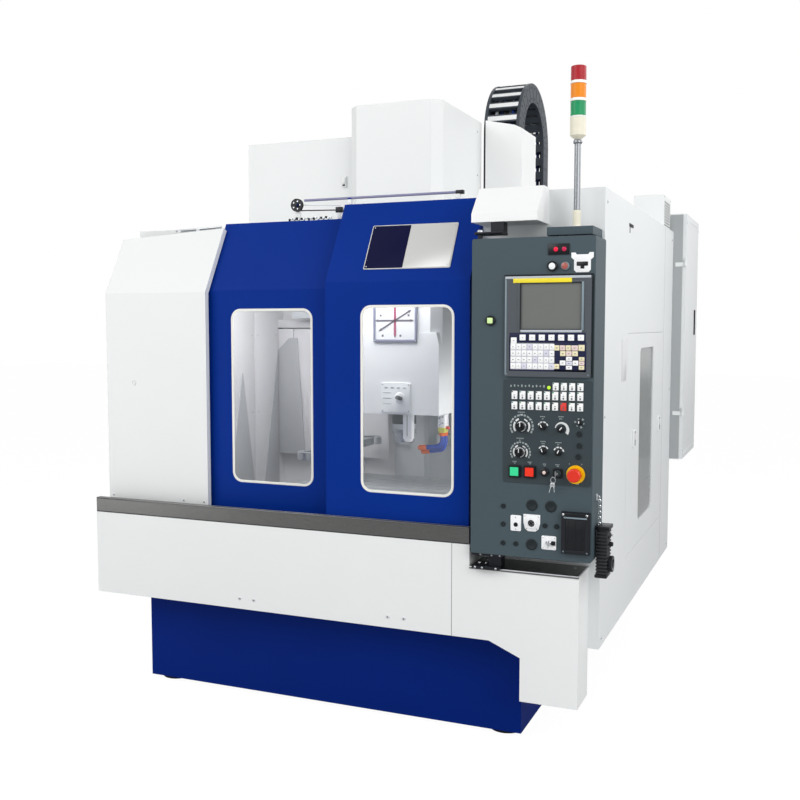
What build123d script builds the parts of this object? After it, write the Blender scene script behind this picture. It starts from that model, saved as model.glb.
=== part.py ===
from build123d import *
from math import atan2, cos, degrees, hypot, radians, sin, tan
import os

# Vertical machining centre with a telescoping double door and a swivel control panel.
# Millimetres, +Z up, -Y is the operator's side, +X is the operator's right.
# Sizes across are measured from the enclosure's middle, sizes back from the base's front face.

# Overall
enclosure_width = 2270
cabinet_overhang = 75
panel_reach = 185
emergency_stop_rise = 45
cabinet_rear = 2565
sheet = 3
clearance = 0.3
running_fit = 0.05

# Levels above the floor
foot_height = 18
leg_bottom = 210
side_bottom = 396
apron_bottom = 434
bed_deck = 560
pedestal_deck = 716
rail_bottom = 805
track_rise = 23
rail_height = 65
track_top = rail_bottom + track_rise
rail_top = rail_bottom + rail_height
roof_level = 2045
side_top = 2171

# Base casting, feet and drive ways
base_inset_left = 179
base_inset_right = 302
base_left = base_inset_left - enclosure_width / 2
base_right = enclosure_width / 2 - base_inset_right
base_depth = 1965
base_wall = 40
foot_radius = 70
foot_chamfer = 6
foot_rows = (90, 980, 1870)
foot_inset = 85
foot_boss = 150
way_height = 80
way_width = 70
way_spread = 220
way_front = 210
way_rear = 1240
screw_block = 60
seat_margin = 8

# Spindle line
head_x = 20
spindle_y = 740

# Column
column_width = 660
column_front = 1270
column_rear = 1950
column_top = 2180
column_groove = 200
column_groove_depth = 70
column_wall = 60
column_rail_width = 45
column_rail_depth = 35
column_rail_spread = 210
column_rail_bottom = 1000
column_base_width = 860
z_bearings = (1000, 2110)
feed_plate = 12
feed_plate_width = 180
feed_motor_radius = 60
feed_motor_height = 190

# Apron, stainless rail and pedestal
apron_front = -150
apron_end = 588
apron_flange_back = -60
ledge_width = 35
ledge_inner = ledge_width - enclosure_width / 2
rail_end = 660
rail_back = -129
pedestal_left = 590
pedestal_step = 662
pedestal_right = 1092
pedestal_slope_start = 742
pedestal_slope_end = 867
pedestal_slope_bottom = 380
pedestal_rear = 20
pedestal_lip = 8
apron_screw_radius = 7
apron_screw_rise = 46
apron_screws = (-378, -308, 317, 387)

# Left cover and side walls
cover_inset = 18
cover_left = cover_inset - enclosure_width / 2
cover_right = -583
cover_front = -75
cover_bottom = 850
cover_kink = 1798
cover_top_left = 2052
cover_top_right = 2088
cover_top_back = 82
cover_flange = 34
cover_flange_gap = 9
side_front = 20
side_rear = 1962
front_wall_left = 655
side_flange = 90
rear_wall_end = -320
hatch_front = 560
hatch_rear = 1604
hatch_bottom = 634
hatch_top = 1619
hatch_rim = 12
hatch_reveal = 2
hatch_window_y = (896, 1300)
hatch_window_z = (744, 1548)
hatch_window_corner = 30
hatch_pane = 4
pane_lap = 12
latch_y = (730, 1487)
latch_z = (1113, 1180)
latch_width = 26
latch_rise = 9
slot_y = (586, 606)
slot_z = (2070, 2080)
roof_front = 180
roof_margin = 17
roof_upstand = 52

# Doors
door_bottom = track_top + clearance
door_depth = 36
door_skin = 3
door_frame = 26
pane_depth = 8
frame_depth = 12
window_corner = 45
left_door_x = (-598, 63)
left_door_front = -37
left_door_kink = 1806
left_door_top = 2110
left_door_top_back = 124
left_window_x = (-476, -77)
left_window_z = (966, 1724)
right_door_x = (28, 650)
right_door_front = -125
right_door_kink = 1828
right_door_top = 2161
right_door_top_back = 64
right_window_x = (187, 587)
right_window_z = (978, 1733)
track_width = 20
track_inset = 8
track_x = (-1112, 652)
track_plate = 9
sill_top = rail_bottom + track_plate

# Nameplate on the right door's sloping part
nameplate_x = (187, 559)
nameplate_slant = (55, 266)
nameplate_rise = 3
nameplate_corner = 6

# Telescoping drive above the doors
pulley_x = -243
pulley_back = 142
pulley_z = 2180
pulley_radius = 28
pulley_width = 12
pulley_pin = 5
pulley_head = 9
pulley_plate = 6
pulley_plate_width = 24
pulley_flange = 3
tie_bar_x = (-172, 545)
tie_bar_back = 82
tie_bar_z = 2190
tie_bar_radius = 5
tie_bar_post = 16

# Cover over the panel
hood_x = (664, 920)
hood_front = -155
hood_bottom = 2040
hood_lip = 2072
hood_top_front = -60
hood_top = 2178

# Chamber
chamber_inset_left = 185
chamber_left = chamber_inset_left - enclosure_width / 2
chamber_inset_right = 135
chamber_right = enclosure_width / 2 - chamber_inset_right
chamber_rear = 1262
chamber_floor_inner = (-300, 340)
head_gap = 270
sill_front = 22
sill_end = 650
pocket_end = -600
liner_kink = 1790
liner_top_back = 170
ledge_z = 1640
ledge_depth = 60
ledge_height = 46
ledge_end = -250

# Saddle, table and screws
saddle_half_x = 550
saddle_half_y = 250
saddle_height = 96
saddle_rail_height = 26
saddle_rail_width = 36
saddle_rail_spread = 150
saddle_guide = 26
table_guide = 12
table_half_x = 500
table_half_y = 250
table_top = 870
table_slot = 18
table_slot_wide = 30
table_slot_deep = 14
table_slot_depth = 32
table_slot_pitch = 90
table_slot_count = 5
screw_radius = 16
nut_length = 90
nut_radius = 28
x_screw_z = 760
x_screw_channel = 66
y_screw_z = 590
z_screw_back = 1302

# Head, its cover and the spindle
head_half = 165
head_bottom = 1250
head_top = 1760
head_nose_radius = 56
head_nose_bottom = 1128
head_housing_radius = 130
head_bore = 44
head_arm_front = 860
head_rear = 1216
carriage_half = 240
carriage_z = (1300, 1740)
z_nut_z = (1450, 1540)
z_nut_rear = 1332
gib_width = 26
gib_depth = 24
motor_radius = 105
motor_height = 390
head_cover_half = 235
head_cover_front = 600
head_cover_chamfer = 45
head_cover_bottom = 1228
head_cover_top = 2695
head_skirt_front = 596
head_skirt_top = 1620
head_skirt_cut = (13, 60)
spindle_nose_radius = 54
spindle_nose_bottom = 1082
spindle_groove = 5
spindle_groove_z = (1098, 1106)
spindle_top = 1700
taper_radius = 22
taper_small = 12
taper_depth = 68
drive_key = 16
drive_key_rise = 8
hose_radius = 12
hose_block_x = (203, 241)
hose_block_y = (717, 777)
hose_block_drop = 106
hose_y = (733, 761)
hose_top_x = (223, 226)
hose_knee_z = 1090
hose_turns = ((196, 1066), (204, 1050))
nozzle_radius = 13
nozzle_length = 42
air_block_x = (54, 100)
air_block_y = (640, 676)
air_block_bottom = 1092

# Chain guard, tool magazine and changer
guard_x = (276, 470)
guard_y = (1220, 1490)
guard_top = 2708
guard_slope_x = 430
guard_slope_z = 2675
guard_low = 2655
magazine_x = (-826, -240)
magazine_y = (700, 1240)
magazine_top = 2570
magazine_flange = 20
magazine_plate = 6
drum_x = (-584, -440)
drum_back = 970
drum_z = 2310
drum_radius = 205
drum_web = 24
drum_shaft = 22
drum_boss = 50
drum_boss_end = -610
drum_seat = 140
pot_count = 14
pot_ring = 165
pot_radius = 34
pot_depth = 112
tool_end_radius = 20
arm_x = -320
arm_z = (1020, 1056)
arm_reach = 340
arm_width = 84
arm_tip = 62
arm_jaw = 33
nozzle_swing_gap = 14
nozzle_end_x = arm_x + arm_reach + arm_tip + nozzle_swing_gap
hose_tips = ((nozzle_end_x, 1058), (nozzle_end_x + 6, 1037))
arm_shaft = 26
arm_tube = 50
arm_spigot = 36
arm_tube_bottom = 1100
arm_plate_x = (-400, -243)
arm_plate_y = (703, 860)

# Cable chain
chain_x = (262, 450)
chain_middle = 1534
chain_outer = 300
chain_inner = 200
chain_rise = 2642
chain_side = 16
chain_slats = 13
chain_slat_width = 42
chain_slat_rise = 24
chain_slat_step = 2
chain_leg_slats = 6
chain_base = 8
chain_foot_left = 200
full_turn = 360
half_turn = 180

# Electrical cabinet
cabinet_left = -300
cabinet_edge = 1188
cabinet_bottom = 900
cabinet_top = 2270
cabinet_door_x = (1188.3, 1204)
cabinet_door_inset = 2
cabinet_spacers = ((-250, -190), (230, 290))
cabinet_spacer_z = (1000, 2000)
cabinet_pin = 4
cabinet_knuckle = 7
cabinet_knuckle_z = (1150, 1980)
cabinet_knuckle_height = 45
cabinet_pin_x = 1203
cabinet_pin_y = 1958
cabinet_handle_y = 2426
cabinet_handle_z = (1598, 1745)
cabinet_handle_width = 26
cabinet_handle_rise = 5.7
cabinet_handle_pin = 7
cabinet_lip = 40
tongue_thick = 5
tongue_bite = 24
cooler_x = (958, 1116)
cooler_y = (1700, 1950)
cooler_height = 176

# Operator panel
panel_x = (678, 1144)
panel_z = (782, 1975)
panel_rear = 0
panel_skin = 4
panel_round = 8
hinge_axis_x = 702
hinge_axis_back = -160
hinge_pin = 9
hinge_bite = 14
hinge_plate = 9
hinge_boss = 18
hinge_boss_width = 36
hinge_riser_x = (740, 790)
hinge_riser_back = (-150, -100)
lower_hinge_base_x = (680, 790)
lower_hinge_base_z = 12
lower_hinge_x = (682, 806)
hinge_back = (-178, -100)
upper_hinge_x = (684, 792)
upper_hinge_bottom = 1992
display_x = (810, 1133)
display_z = (1463, 1832)
display_rise = 12
screen_frame_x = (872, 1098)
screen_frame_z = (1638, 1806)
screen_recess = 6
keypad_x = (831, 995)
keypad_z = (1493, 1583)
keypad_columns = 8
keypad_rows = 4
side_keypad_x = (1001, 1111)
side_keypad_columns = 5
key_gap = 5
key_rise = 4
softkey_x = (864, 1108)
softkey_z = (1598, 1620)
softkey_count = 7
left_key_x = (826, 846)
sub_panel_x = (806, 1138)
sub_panel_z = (1065, 1450)
sub_panel_rise = 3
row_x = (836, 1109)
row_one_x = (992, 1109)
row_z = ((1418, 1441), (1382, 1408), (1345, 1368))
row_count = 9
row_one_count = 4
dial_radius = 21
dial_rise = 22
dial_skirt = 5
dial_skirt_rise = 6
dial_stem = 5
dial_grip = 9
feed_dial_at = (877, 1277)
spindle_dial_at = (873, 1180)
knob_radius = 13
knob_rise = 20
knob_places = ((958, 1278), (1026, 1272), (961, 1188), (1018, 1186), (1095, 1298))
start_at = (853, 1108)
hold_at = (911, 1109)
push_size = 32
push_rise = 10
push_collar = 42
push_collar_rise = 4
key_switch_at = (1016, 1109)
key_barrel = 13
key_barrel_rise = 10
key_stem = 4
key_grip = 24
key_thick = 3
key_rise_out = 30
estop_at = (1083, 1108)
estop_ring_radius = 34
estop_ring_rise = 6
estop_head = 25
estop_stem = 11
estop_travel = 5
estop_gap = 7
estop_round = 6
plate_rise = 3
upper_plate_x = (1058, 1135)
upper_plate_z = (1841, 1912)
port_plate_x = (838, 877)
port_plate_z = (882, 940)
socket_plate_x = (888, 950)
socket_plate_z = (884, 947)
socket_radius = 19
socket_bore = 14
lock_plate_x = (958, 1012)
lock_plate_z = (821, 871)
lock_radius = 10
lock_rise = 14
console_x = (1034, 1139)
console_z = (814, 969)
console_rise = 16
console_screw = 4
console_screw_inset = 9
lamp_x = (972, 1047)
lamp_z = (1910, 1946)
button_radius = 15
button_places = ((984, 1867), (1032, 1867), (753, 1670), (967, 1110))
blank_radius = 11
low_blank_radius = 8
plate_blanks = ((1094, 1257), (1095, 1214), (1092, 1174))
low_blanks = ((808, 972), (808, 903), (808, 831), (858, 832), (969, 909), (1013, 909))
big_blank_radius = 21
big_blank_places = ((919, 983), (991, 983), (919, 834))
pendant_x = (1150, 1196)
pendant_back = (-140, -62)
pendant_z = (720, 912)
pendant_hook = (860, 890)
pendant_round = 8
wheel_radius = 30
wheel_z = 768
wheel_rise = 11
wheel_stem = 6
wheel_dish = 20
selector_z = 842
selector_radius = 15
selector_rise = 10

# Signal tower
bracket_place_x = (955, 1125)
bracket_front = -150
bracket_z = (1982, 2012)
tower_x = 1052
tower_back = -90
tower_foot_radius = 15
tower_foot_height = 58
tower_cone_height = 6
tower_pole_radius = 11
tower_base_radius = 29
tower_taper = 14
tower_base_z = (2332, 2416)
lens_height = 53
lens_roof = 3
lens_gap = 10
lens_radius = 28.5
lens_inner_radius = 22
lens_ring_radius = 29.5
lens_count = 3

# Where the frame's origin lies: the middle of the outline, on the floor
overall_depth = panel_reach + emergency_stop_rise + cabinet_rear
enclosure_x = -cabinet_overhang / 2
base_y = panel_reach + emergency_stop_rise - overall_depth / 2
side_x = enclosure_width / 2


def across(value):
    # An X place measured from the enclosure's middle
    return enclosure_x + value


def back(value):
    # A Y place measured from the base's front face
    return base_y + value


def spread(values, margin):
    # A range made wider by the margin at each end
    return (values[0] - margin, values[1] + margin)


def middle(values):
    return (values[0] + values[1]) / 2


def around(value, width):
    # A range of this width about the value
    return (value - width / 2, value + width / 2)


def slab(x, y, z, mode=Mode.ADD):
    # A straight block between two places in each direction
    with BuildSketch(Plane.XY.offset(z[0])) as outline:
        with Locations((across(middle(x)), back(middle(y)))):
            Rectangle(x[1] - x[0], y[1] - y[0])
    extrude(outline.sketch, amount=z[1] - z[0], mode=mode)


def prism_x(points, x, mode=Mode.ADD):
    # An outline in depth and height, drawn out across the machine
    placed = [(back(y), z) for y, z in points]
    with BuildSketch(Plane.YZ.offset(across(x[0]))) as outline:
        with BuildLine():
            Polyline(*placed, close=True)
        make_face()
    extrude(outline.sketch, amount=x[1] - x[0], mode=mode)


def prism_y(points, y, mode=Mode.ADD):
    # An outline seen from the front, drawn out towards the back
    placed = [(across(x), z) for x, z in points]
    with BuildSketch(Plane.XZ.offset(-back(y[1]))) as outline:
        with BuildLine():
            Polyline(*placed, close=True)
        make_face()
    extrude(outline.sketch, amount=y[1] - y[0], mode=mode)


def prism_z(points, z, mode=Mode.ADD):
    # An outline seen from above, drawn upwards
    placed = [(across(x), back(y)) for x, y in points]
    with BuildSketch(Plane.XY.offset(z[0])) as outline:
        with BuildLine():
            Polyline(*placed, close=True)
        make_face()
    extrude(outline.sketch, amount=z[1] - z[0], mode=mode)


def shell_y(points, y, wall):
    # A sheet metal box with this outline from the front, open at the back
    placed = [(across(x), z) for x, z in points]
    prism_y(points, y)
    with BuildSketch(Plane.XZ.offset(-back(y[1]))) as inside:
        with BuildLine():
            Polyline(*placed, close=True)
        make_face()
        offset(amount=-wall, kind=Kind.INTERSECTION)
    extrude(inside.sketch, amount=y[1] - y[0] - wall, mode=Mode.SUBTRACT)


def rod_x(y, z, radius, x, mode=Mode.ADD):
    with BuildSketch(Plane.YZ.offset(across(x[0]))) as outline:
        with Locations((back(y), z)):
            Circle(radius)
    extrude(outline.sketch, amount=x[1] - x[0], mode=mode)


def rod_y(x, z, radius, y, mode=Mode.ADD):
    with BuildSketch(Plane.XZ.offset(-back(y[1]))) as outline:
        with Locations((across(x), z)):
            Circle(radius)
    extrude(outline.sketch, amount=y[1] - y[0], mode=mode)


def rod_z(x, y, radius, z, mode=Mode.ADD):
    with BuildSketch(Plane.XY.offset(z[0])) as outline:
        with Locations((across(x), back(y))):
            Circle(radius)
    extrude(outline.sketch, amount=z[1] - z[0], mode=mode)


def rounded_y(x, z, corner, y, mode=Mode.ADD):
    # A rectangle with round corners seen from the front, drawn out in depth
    with BuildSketch(Plane.XZ.offset(-back(y[1]))) as outline:
        with Locations((across(middle(x)), middle(z))):
            RectangleRounded(x[1] - x[0], z[1] - z[0], corner)
    extrude(outline.sketch, amount=y[1] - y[0], mode=mode)


def rounded_x(y, z, corner, x, mode=Mode.ADD):
    # The same, seen from the side
    with BuildSketch(Plane.YZ.offset(across(x[0]))) as outline:
        with Locations((back(middle(y)), middle(z))):
            RectangleRounded(y[1] - y[0], z[1] - z[0], corner)
    extrude(outline.sketch, amount=x[1] - x[0], mode=mode)


def cone_z(x, y, radii, z, mode=Mode.ADD):
    # An upright cone from the first radius at the bottom to the second at the top
    with Locations((across(x), back(y), z[0])):
        stance = (Align.CENTER, Align.CENTER, Align.MIN)
        Cone(radii[0], radii[1], z[1] - z[0], align=stance, mode=mode)


def round_bar(start, end, y, radius):
    # A round bar between two places in a plane seen from the front
    run = end[0] - start[0]
    rise = end[1] - start[1]
    tilt = degrees(atan2(run, rise))
    place = Location((across(start[0]), back(y), start[1]), (0, tilt, 0))
    with Locations(place):
        stance = (Align.CENTER, Align.CENTER, Align.MIN)
        Cylinder(radius, hypot(run, rise), align=stance)


def key_grid(x, z, columns, rows, y):
    # Even keys that fill a field, with the same gap between all of them
    pitch_x = (x[1] - x[0] + key_gap) / columns
    pitch_z = (z[1] - z[0] + key_gap) / rows
    for column_number in range(columns):
        for row_number in range(rows):
            key_x = x[0] + column_number * pitch_x
            key_z = z[0] + row_number * pitch_z
            slab((key_x, key_x + pitch_x - key_gap), y, (key_z, key_z + pitch_z - key_gap))


def bevelled(x, y, corner):
    # A box seen from above with both front corners cut off
    return [(x[0], y[1]), (x[0], y[0] + corner), (x[0] + corner, y[0]),
            (x[1] - corner, y[0]), (x[1], y[0] + corner), (x[1], y[1])]


def cut_top(x, z, cut):
    # A box seen from the front with both top corners cut off
    return [(x[0], z[0]), (x[1], z[0]), (x[1], z[1] - cut[1]), (x[1] - cut[0], z[1]),
            (x[0] + cut[0], z[1]), (x[0], z[1] - cut[1])]


def turned(point, angle):
    # A place given along and out from the chain's bend, turned round the bend's middle
    along, out = point
    swing = radians(angle)
    return (chain_middle + out * sin(swing) + along * cos(swing),
            chain_rise + out * cos(swing) - along * sin(swing))


def folded_outline(front, kink, top_back, top, bottom, depth):
    # The side view of a folded front sheet: upright, then leaning back above the kink
    lean = atan2(top_back - front, top - kink)
    inner_kink = kink - depth * tan(lean / 2)
    inner_top = (top_back + depth * cos(lean), top - depth * sin(lean))
    return [(front, bottom), (front, kink), (top_back, top),
            inner_top, (front + depth, inner_kink), (front + depth, bottom)]


def finish(builder, label):
    # Names the piece and writes its file
    builder.part.label = label
    export_step(builder.part, "parts/" + label + ".step")


os.makedirs("parts", exist_ok=True)

foot_places = [(x, y) for x in (base_left + foot_inset, base_right - foot_inset) for y in foot_rows]
column_seat = bed_deck + way_height
cabinet_front = side_rear + sheet
panel_front = -panel_reach
roof_top = roof_level + sheet


# The base casting: an open-bottomed box with ways, screw bearings and the column's seat
with BuildPart() as bed:
    slab((base_left, base_right), (0, base_depth), (foot_height, bed_deck))
    hollow_x = spread((base_left, base_right), -base_wall)
    hollow_y = spread((0, base_depth), -base_wall)
    hollow_z = (foot_height, bed_deck - base_wall)
    slab(hollow_x, hollow_y, hollow_z, Mode.SUBTRACT)
    for foot_x, foot_y in foot_places:
        slab(around(foot_x, foot_boss), around(foot_y, foot_boss), hollow_z)
    for side in (-1, 1):
        way_x = around(head_x + side * way_spread, way_width)
        slab(way_x, (way_front, way_rear), (bed_deck + clearance, column_seat))
    for block_y in (way_front, way_rear - screw_block):
        block_z = (bed_deck + clearance, y_screw_z + screw_block / 2)
        slab(around(head_x, screw_block), (block_y, block_y + screw_block), block_z)
    rod_y(head_x, y_screw_z, screw_radius + running_fit, (way_front, way_rear), Mode.SUBTRACT)
    seat_y = spread((column_front, column_rear), seat_margin)
    slab(around(head_x, column_base_width), seat_y, (bed_deck + clearance, column_seat))
finish(bed, "bed")

# Six levelling feet under the base
with BuildPart() as leveling_feet:
    for foot_x, foot_y in foot_places:
        rod_z(foot_x, foot_y, foot_radius, (0, foot_height - foot_chamfer))
        foot_top = (foot_height - foot_chamfer, foot_height)
        cone_z(foot_x, foot_y, (foot_radius, foot_radius - foot_chamfer), foot_top)
finish(leveling_feet, "leveling_feet")

# Sheet metal apron below the doors, with the left side's lower wall
with BuildPart() as apron:
    apron_x = (-side_x, apron_end)
    apron_z = (apron_bottom, rail_bottom)
    apron_deck = (rail_bottom - sheet, rail_bottom)
    slab(apron_x, (apron_front, apron_front + sheet), apron_z)
    slab(apron_x, (apron_front, apron_flange_back), (apron_bottom, apron_bottom + sheet))
    slab(apron_x, (apron_front, sill_front), apron_deck)
    slab((-side_x, -side_x + sheet), (apron_front, side_rear), apron_z)
    slab((-side_x, ledge_inner), (apron_front, side_rear), apron_deck)
    slab((apron_end - sheet, apron_end), (apron_front, apron_flange_back), apron_z)
    for screw_x in apron_screws:
        screw_place = (screw_x, apron_bottom + apron_screw_rise)
        rod_y(*screw_place, apron_screw_radius, (apron_front - sheet, apron_front))
finish(apron, "apron")

# Stainless rail in front of the doors and the stainless top of the pedestal
with BuildPart() as stainless_trim:
    rail_x = (-side_x, rail_end)
    rail_z = (rail_bottom, rail_top)
    slab(rail_x, (apron_front, apron_front + sheet), rail_z)
    slab(rail_x, (apron_front, rail_back), (rail_top - sheet, rail_top))
    slab((-side_x, -side_x + sheet), (apron_front, rail_back), rail_z)
    slab((rail_end - sheet, rail_end), (apron_front, rail_back), rail_z)
    deck_x = (pedestal_step, pedestal_right)
    slab(deck_x, (apron_front, pedestal_rear), (pedestal_deck, pedestal_deck + sheet))
    lip_z = (pedestal_deck + sheet - pedestal_lip, pedestal_deck + sheet)
    slab(deck_x, (apron_front - sheet, apron_front), lip_z)
finish(stainless_trim, "stainless_trim")

# Pedestal under the operator panel, open at the back
with BuildPart() as pedestal:
    pedestal_outline = [(pedestal_left, apron_bottom), (pedestal_slope_start, apron_bottom),
                        (pedestal_slope_end, pedestal_slope_bottom), (pedestal_slope_end, leg_bottom),
                        (pedestal_right, leg_bottom), (pedestal_right, pedestal_deck),
                        (pedestal_step, pedestal_deck), (pedestal_step, rail_bottom),
                        (pedestal_left, rail_bottom)]
    shell_y(pedestal_outline, (apron_front, pedestal_rear), sheet)
    base_room = (pedestal_left, base_right + clearance)
    slab(base_room, (0, pedestal_rear), (leg_bottom, bed_deck + clearance), Mode.SUBTRACT)
finish(pedestal, "pedestal")

# White cover left of the doors: a folded sheet with a cut top and a flange at the doors
with BuildPart() as left_cover:
    cover_x = (cover_left, cover_right)
    cover_fold = (cover_front, cover_kink, cover_top_back, cover_top_right, cover_bottom)
    prism_x(folded_outline(*cover_fold, sheet), cover_x)
    flange_x = (cover_right - sheet, cover_right)
    prism_x(folded_outline(*cover_fold, cover_flange - cover_flange_gap), flange_x)
    cover_cut = [(cover_left, cover_top_left), (cover_right, cover_top_right),
                 (cover_right, side_top), (cover_left, side_top)]
    prism_y(cover_cut, (cover_front, roof_front), Mode.SUBTRACT)
finish(left_cover, "left_cover")

# Left side wall with the enclosure's rear wall beside the column
with BuildPart() as left_side_panel:
    cover_run = (cover_top_back - cover_front) / (cover_top_right - cover_kink)
    side_top_front = cover_front + (cover_top_left - cover_kink) * cover_run
    side_outline = [(cover_front, rail_bottom), (cover_front, cover_kink), (side_top_front, cover_top_left),
                    (side_rear, cover_top_left), (side_rear, rail_bottom)]
    prism_x(side_outline, (cover_left - sheet, cover_left))
    slab((cover_left, rear_wall_end), (side_rear - sheet, side_rear), (rail_bottom, roof_level))
finish(left_side_panel, "left_side_panel")

# Right side wall, folded round the front beside the panel and over the top
with BuildPart() as right_side_panel:
    skin_y = (side_front, side_front + sheet)
    slab((side_x - sheet, side_x), (side_front, side_rear), (side_bottom, side_top))
    slab((pedestal_right, side_x), skin_y, (side_bottom, side_top))
    slab((front_wall_left, side_x), skin_y, (pedestal_deck, side_top))
    slab((hood_x[1], side_x), (side_front, side_rear), (side_top - sheet, side_top))
    slab((hood_x[1], hood_x[1] + sheet), (side_front, side_rear), (roof_level, side_top))
    slab((side_x - side_flange, side_x), (side_rear - sheet, side_rear), (side_bottom, side_top))
    slab((side_x - side_flange, side_x), (side_front, side_rear), (side_bottom, side_bottom + sheet))
    hole_x = (side_x - sheet, side_x)
    slab(hole_x, (hatch_front, hatch_rear), (hatch_bottom, hatch_top), Mode.SUBTRACT)
    slab(hole_x, slot_y, slot_z, Mode.SUBTRACT)
finish(right_side_panel, "right_side_panel")

# Service hatch in the right side with its window frame and two latches
with BuildPart() as side_hatch:
    hatch_y = (hatch_front, hatch_rear)
    hatch_z = (hatch_bottom, hatch_top)
    flange_x = (side_x - 2 * sheet, side_x - sheet)
    slab(flange_x, spread(hatch_y, hatch_rim), spread(hatch_z, hatch_rim))
    slab(hole_x, spread(hatch_y, -hatch_reveal), spread(hatch_z, -hatch_reveal))
    view_x = (flange_x[0], side_x)
    rounded_x(hatch_window_y, hatch_window_z, hatch_window_corner, view_x, Mode.SUBTRACT)
    for place_y in latch_y:
        slab((side_x, side_x + latch_rise), around(place_y, latch_width), latch_z)
finish(side_hatch, "side_hatch")

with BuildPart() as side_window:
    pane_x = (flange_x[0] - hatch_pane, flange_x[0])
    slab(pane_x, spread(hatch_window_y, pane_lap), spread(hatch_window_z, pane_lap))
finish(side_window, "side_window")

# Cover above the operator panel
with BuildPart() as panel_top_cover:
    hood_outline = [(hood_front, hood_bottom), (hood_front, hood_lip), (hood_top_front, hood_top),
                    (side_front, hood_top), (side_front, hood_bottom)]
    prism_x(hood_outline, hood_x)
    inner_outline = [(hood_front + sheet, hood_bottom + sheet), (hood_front + sheet, hood_lip - sheet / 2),
                     (hood_top_front + sheet / 2, hood_top - sheet), (side_front, hood_top - sheet),
                     (side_front, hood_bottom + sheet)]
    prism_x(inner_outline, spread(hood_x, -sheet), Mode.SUBTRACT)
finish(panel_top_cover, "panel_top_cover")

# Roof sheet with openings for the head's cover and the column
with BuildPart() as roof_panel:
    roof_y = (roof_front, side_rear)
    slab((cover_left, hood_x[1]), roof_y, (roof_level, roof_top))
    roof_lip_y = (roof_front, roof_front + sheet)
    slab((cover_left, hood_x[1]), roof_lip_y, (roof_level, roof_top + roof_upstand))
    head_hole_x = around(head_x, 2 * (head_cover_half + roof_margin))
    head_hole_y = (head_cover_front - roof_margin, column_front)
    slab(head_hole_x, head_hole_y, (roof_level, roof_top), Mode.SUBTRACT)
    column_hole_x = around(head_x, column_width + 2 * roof_margin)
    column_hole_y = (column_front - roof_margin, side_rear)
    slab(column_hole_x, column_hole_y, (roof_level, roof_top), Mode.SUBTRACT)
    rod_z(arm_x, spindle_y, arm_spigot + clearance, (roof_level, roof_top), Mode.SUBTRACT)
finish(roof_panel, "roof_panel")

# White lining of the machining chamber: walls, floors beside the ways and the door sill
with BuildPart() as chamber_liner:
    liner_z = (bed_deck, roof_level)
    liner_front = sill_front + sheet
    side_edge = [(liner_front, bed_deck), (liner_front, liner_kink), (liner_top_back, roof_level),
                 (chamber_rear, roof_level), (chamber_rear, bed_deck)]
    prism_x(side_edge, (chamber_left, chamber_left + sheet))
    slab((chamber_right - sheet, chamber_right), (side_front + sheet, chamber_rear), liner_z)
    view_x = (chamber_right - sheet, chamber_right)
    view_y = (hatch_window_y[0], chamber_rear - ledge_depth)
    slab(view_x, view_y, hatch_window_z, Mode.SUBTRACT)
    rear_y = (chamber_rear - sheet, chamber_rear)
    slab((chamber_left, head_x - head_gap), rear_y, liner_z)
    slab((head_x + head_gap, chamber_right), rear_y, liner_z)
    floor_z = (bed_deck, bed_deck + sheet)
    slab((chamber_left, chamber_floor_inner[0]), (sill_front, chamber_rear), floor_z)
    slab((chamber_floor_inner[1], chamber_right), (side_front + sheet, chamber_rear), floor_z)
    slab((chamber_left, sill_end), (sill_front, liner_front), (bed_deck, sill_top))
    pocket_outline = [(sill_front, bed_deck), (sill_front, liner_kink), (liner_top_back - sheet, roof_level),
                      (liner_top_back, roof_level), (liner_front, liner_kink), (liner_front, bed_deck)]
    prism_x(pocket_outline, (chamber_left, pocket_end))
    ledge_y = (chamber_rear - sheet - ledge_depth, chamber_rear - sheet)
    slab((chamber_left + sheet, ledge_end), ledge_y, (ledge_z, ledge_z + ledge_height))
finish(chamber_liner, "chamber_liner")

# Two door tracks on one plate
with BuildPart() as door_tracks:
    track_y = (apron_front + sheet, sill_front)
    slab(track_x, track_y, (rail_bottom, rail_bottom + track_plate))
    for door_front in (left_door_front, right_door_front):
        rib_y = around(door_front + door_depth / 2, track_width)
        slab(spread(track_x, -track_inset), rib_y, (rail_bottom + track_plate, track_top))
finish(door_tracks, "door_tracks")

# Column casting with its two rails, the feed screw's bearings and the feed motor
with BuildPart() as column:
    slab(around(head_x, column_width), (column_front, column_rear), (column_seat, column_top))
    groove_back = column_front + column_groove_depth
    hollow_x = around(head_x, column_width - 2 * column_wall)
    hollow_y = (groove_back + column_wall, column_rear - column_wall)
    slab(hollow_x, hollow_y, (column_seat, column_top - column_wall), Mode.SUBTRACT)
    groove_x = around(head_x, column_groove)
    slab(groove_x, (column_front, groove_back), (column_seat, column_top), Mode.SUBTRACT)
    rail_y = (column_front - column_rail_depth, column_front - clearance)
    for side in (-1, 1):
        rail_x = around(head_x + side * column_rail_spread, column_rail_width)
        slab(rail_x, rail_y, (column_rail_bottom, column_top))
    for bearing_z in z_bearings:
        block_z = (bearing_z, bearing_z + screw_block)
        slab(around(head_x, screw_block), (z_screw_back - nut_radius, groove_back - clearance), block_z)
    screw_z = (z_bearings[0], z_bearings[1] + screw_block)
    rod_z(head_x, z_screw_back, screw_radius + running_fit, screw_z, Mode.SUBTRACT)
    plate_z = (column_top + clearance, column_top + feed_plate)
    plate_y = (column_front - column_rail_depth, column_wall + groove_back)
    slab(around(head_x, feed_plate_width), plate_y, plate_z)
    motor_z = (column_top + feed_plate, column_top + feed_plate + feed_motor_height)
    rod_z(head_x, z_screw_back, feed_motor_radius, motor_z)
finish(column, "column")

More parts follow.
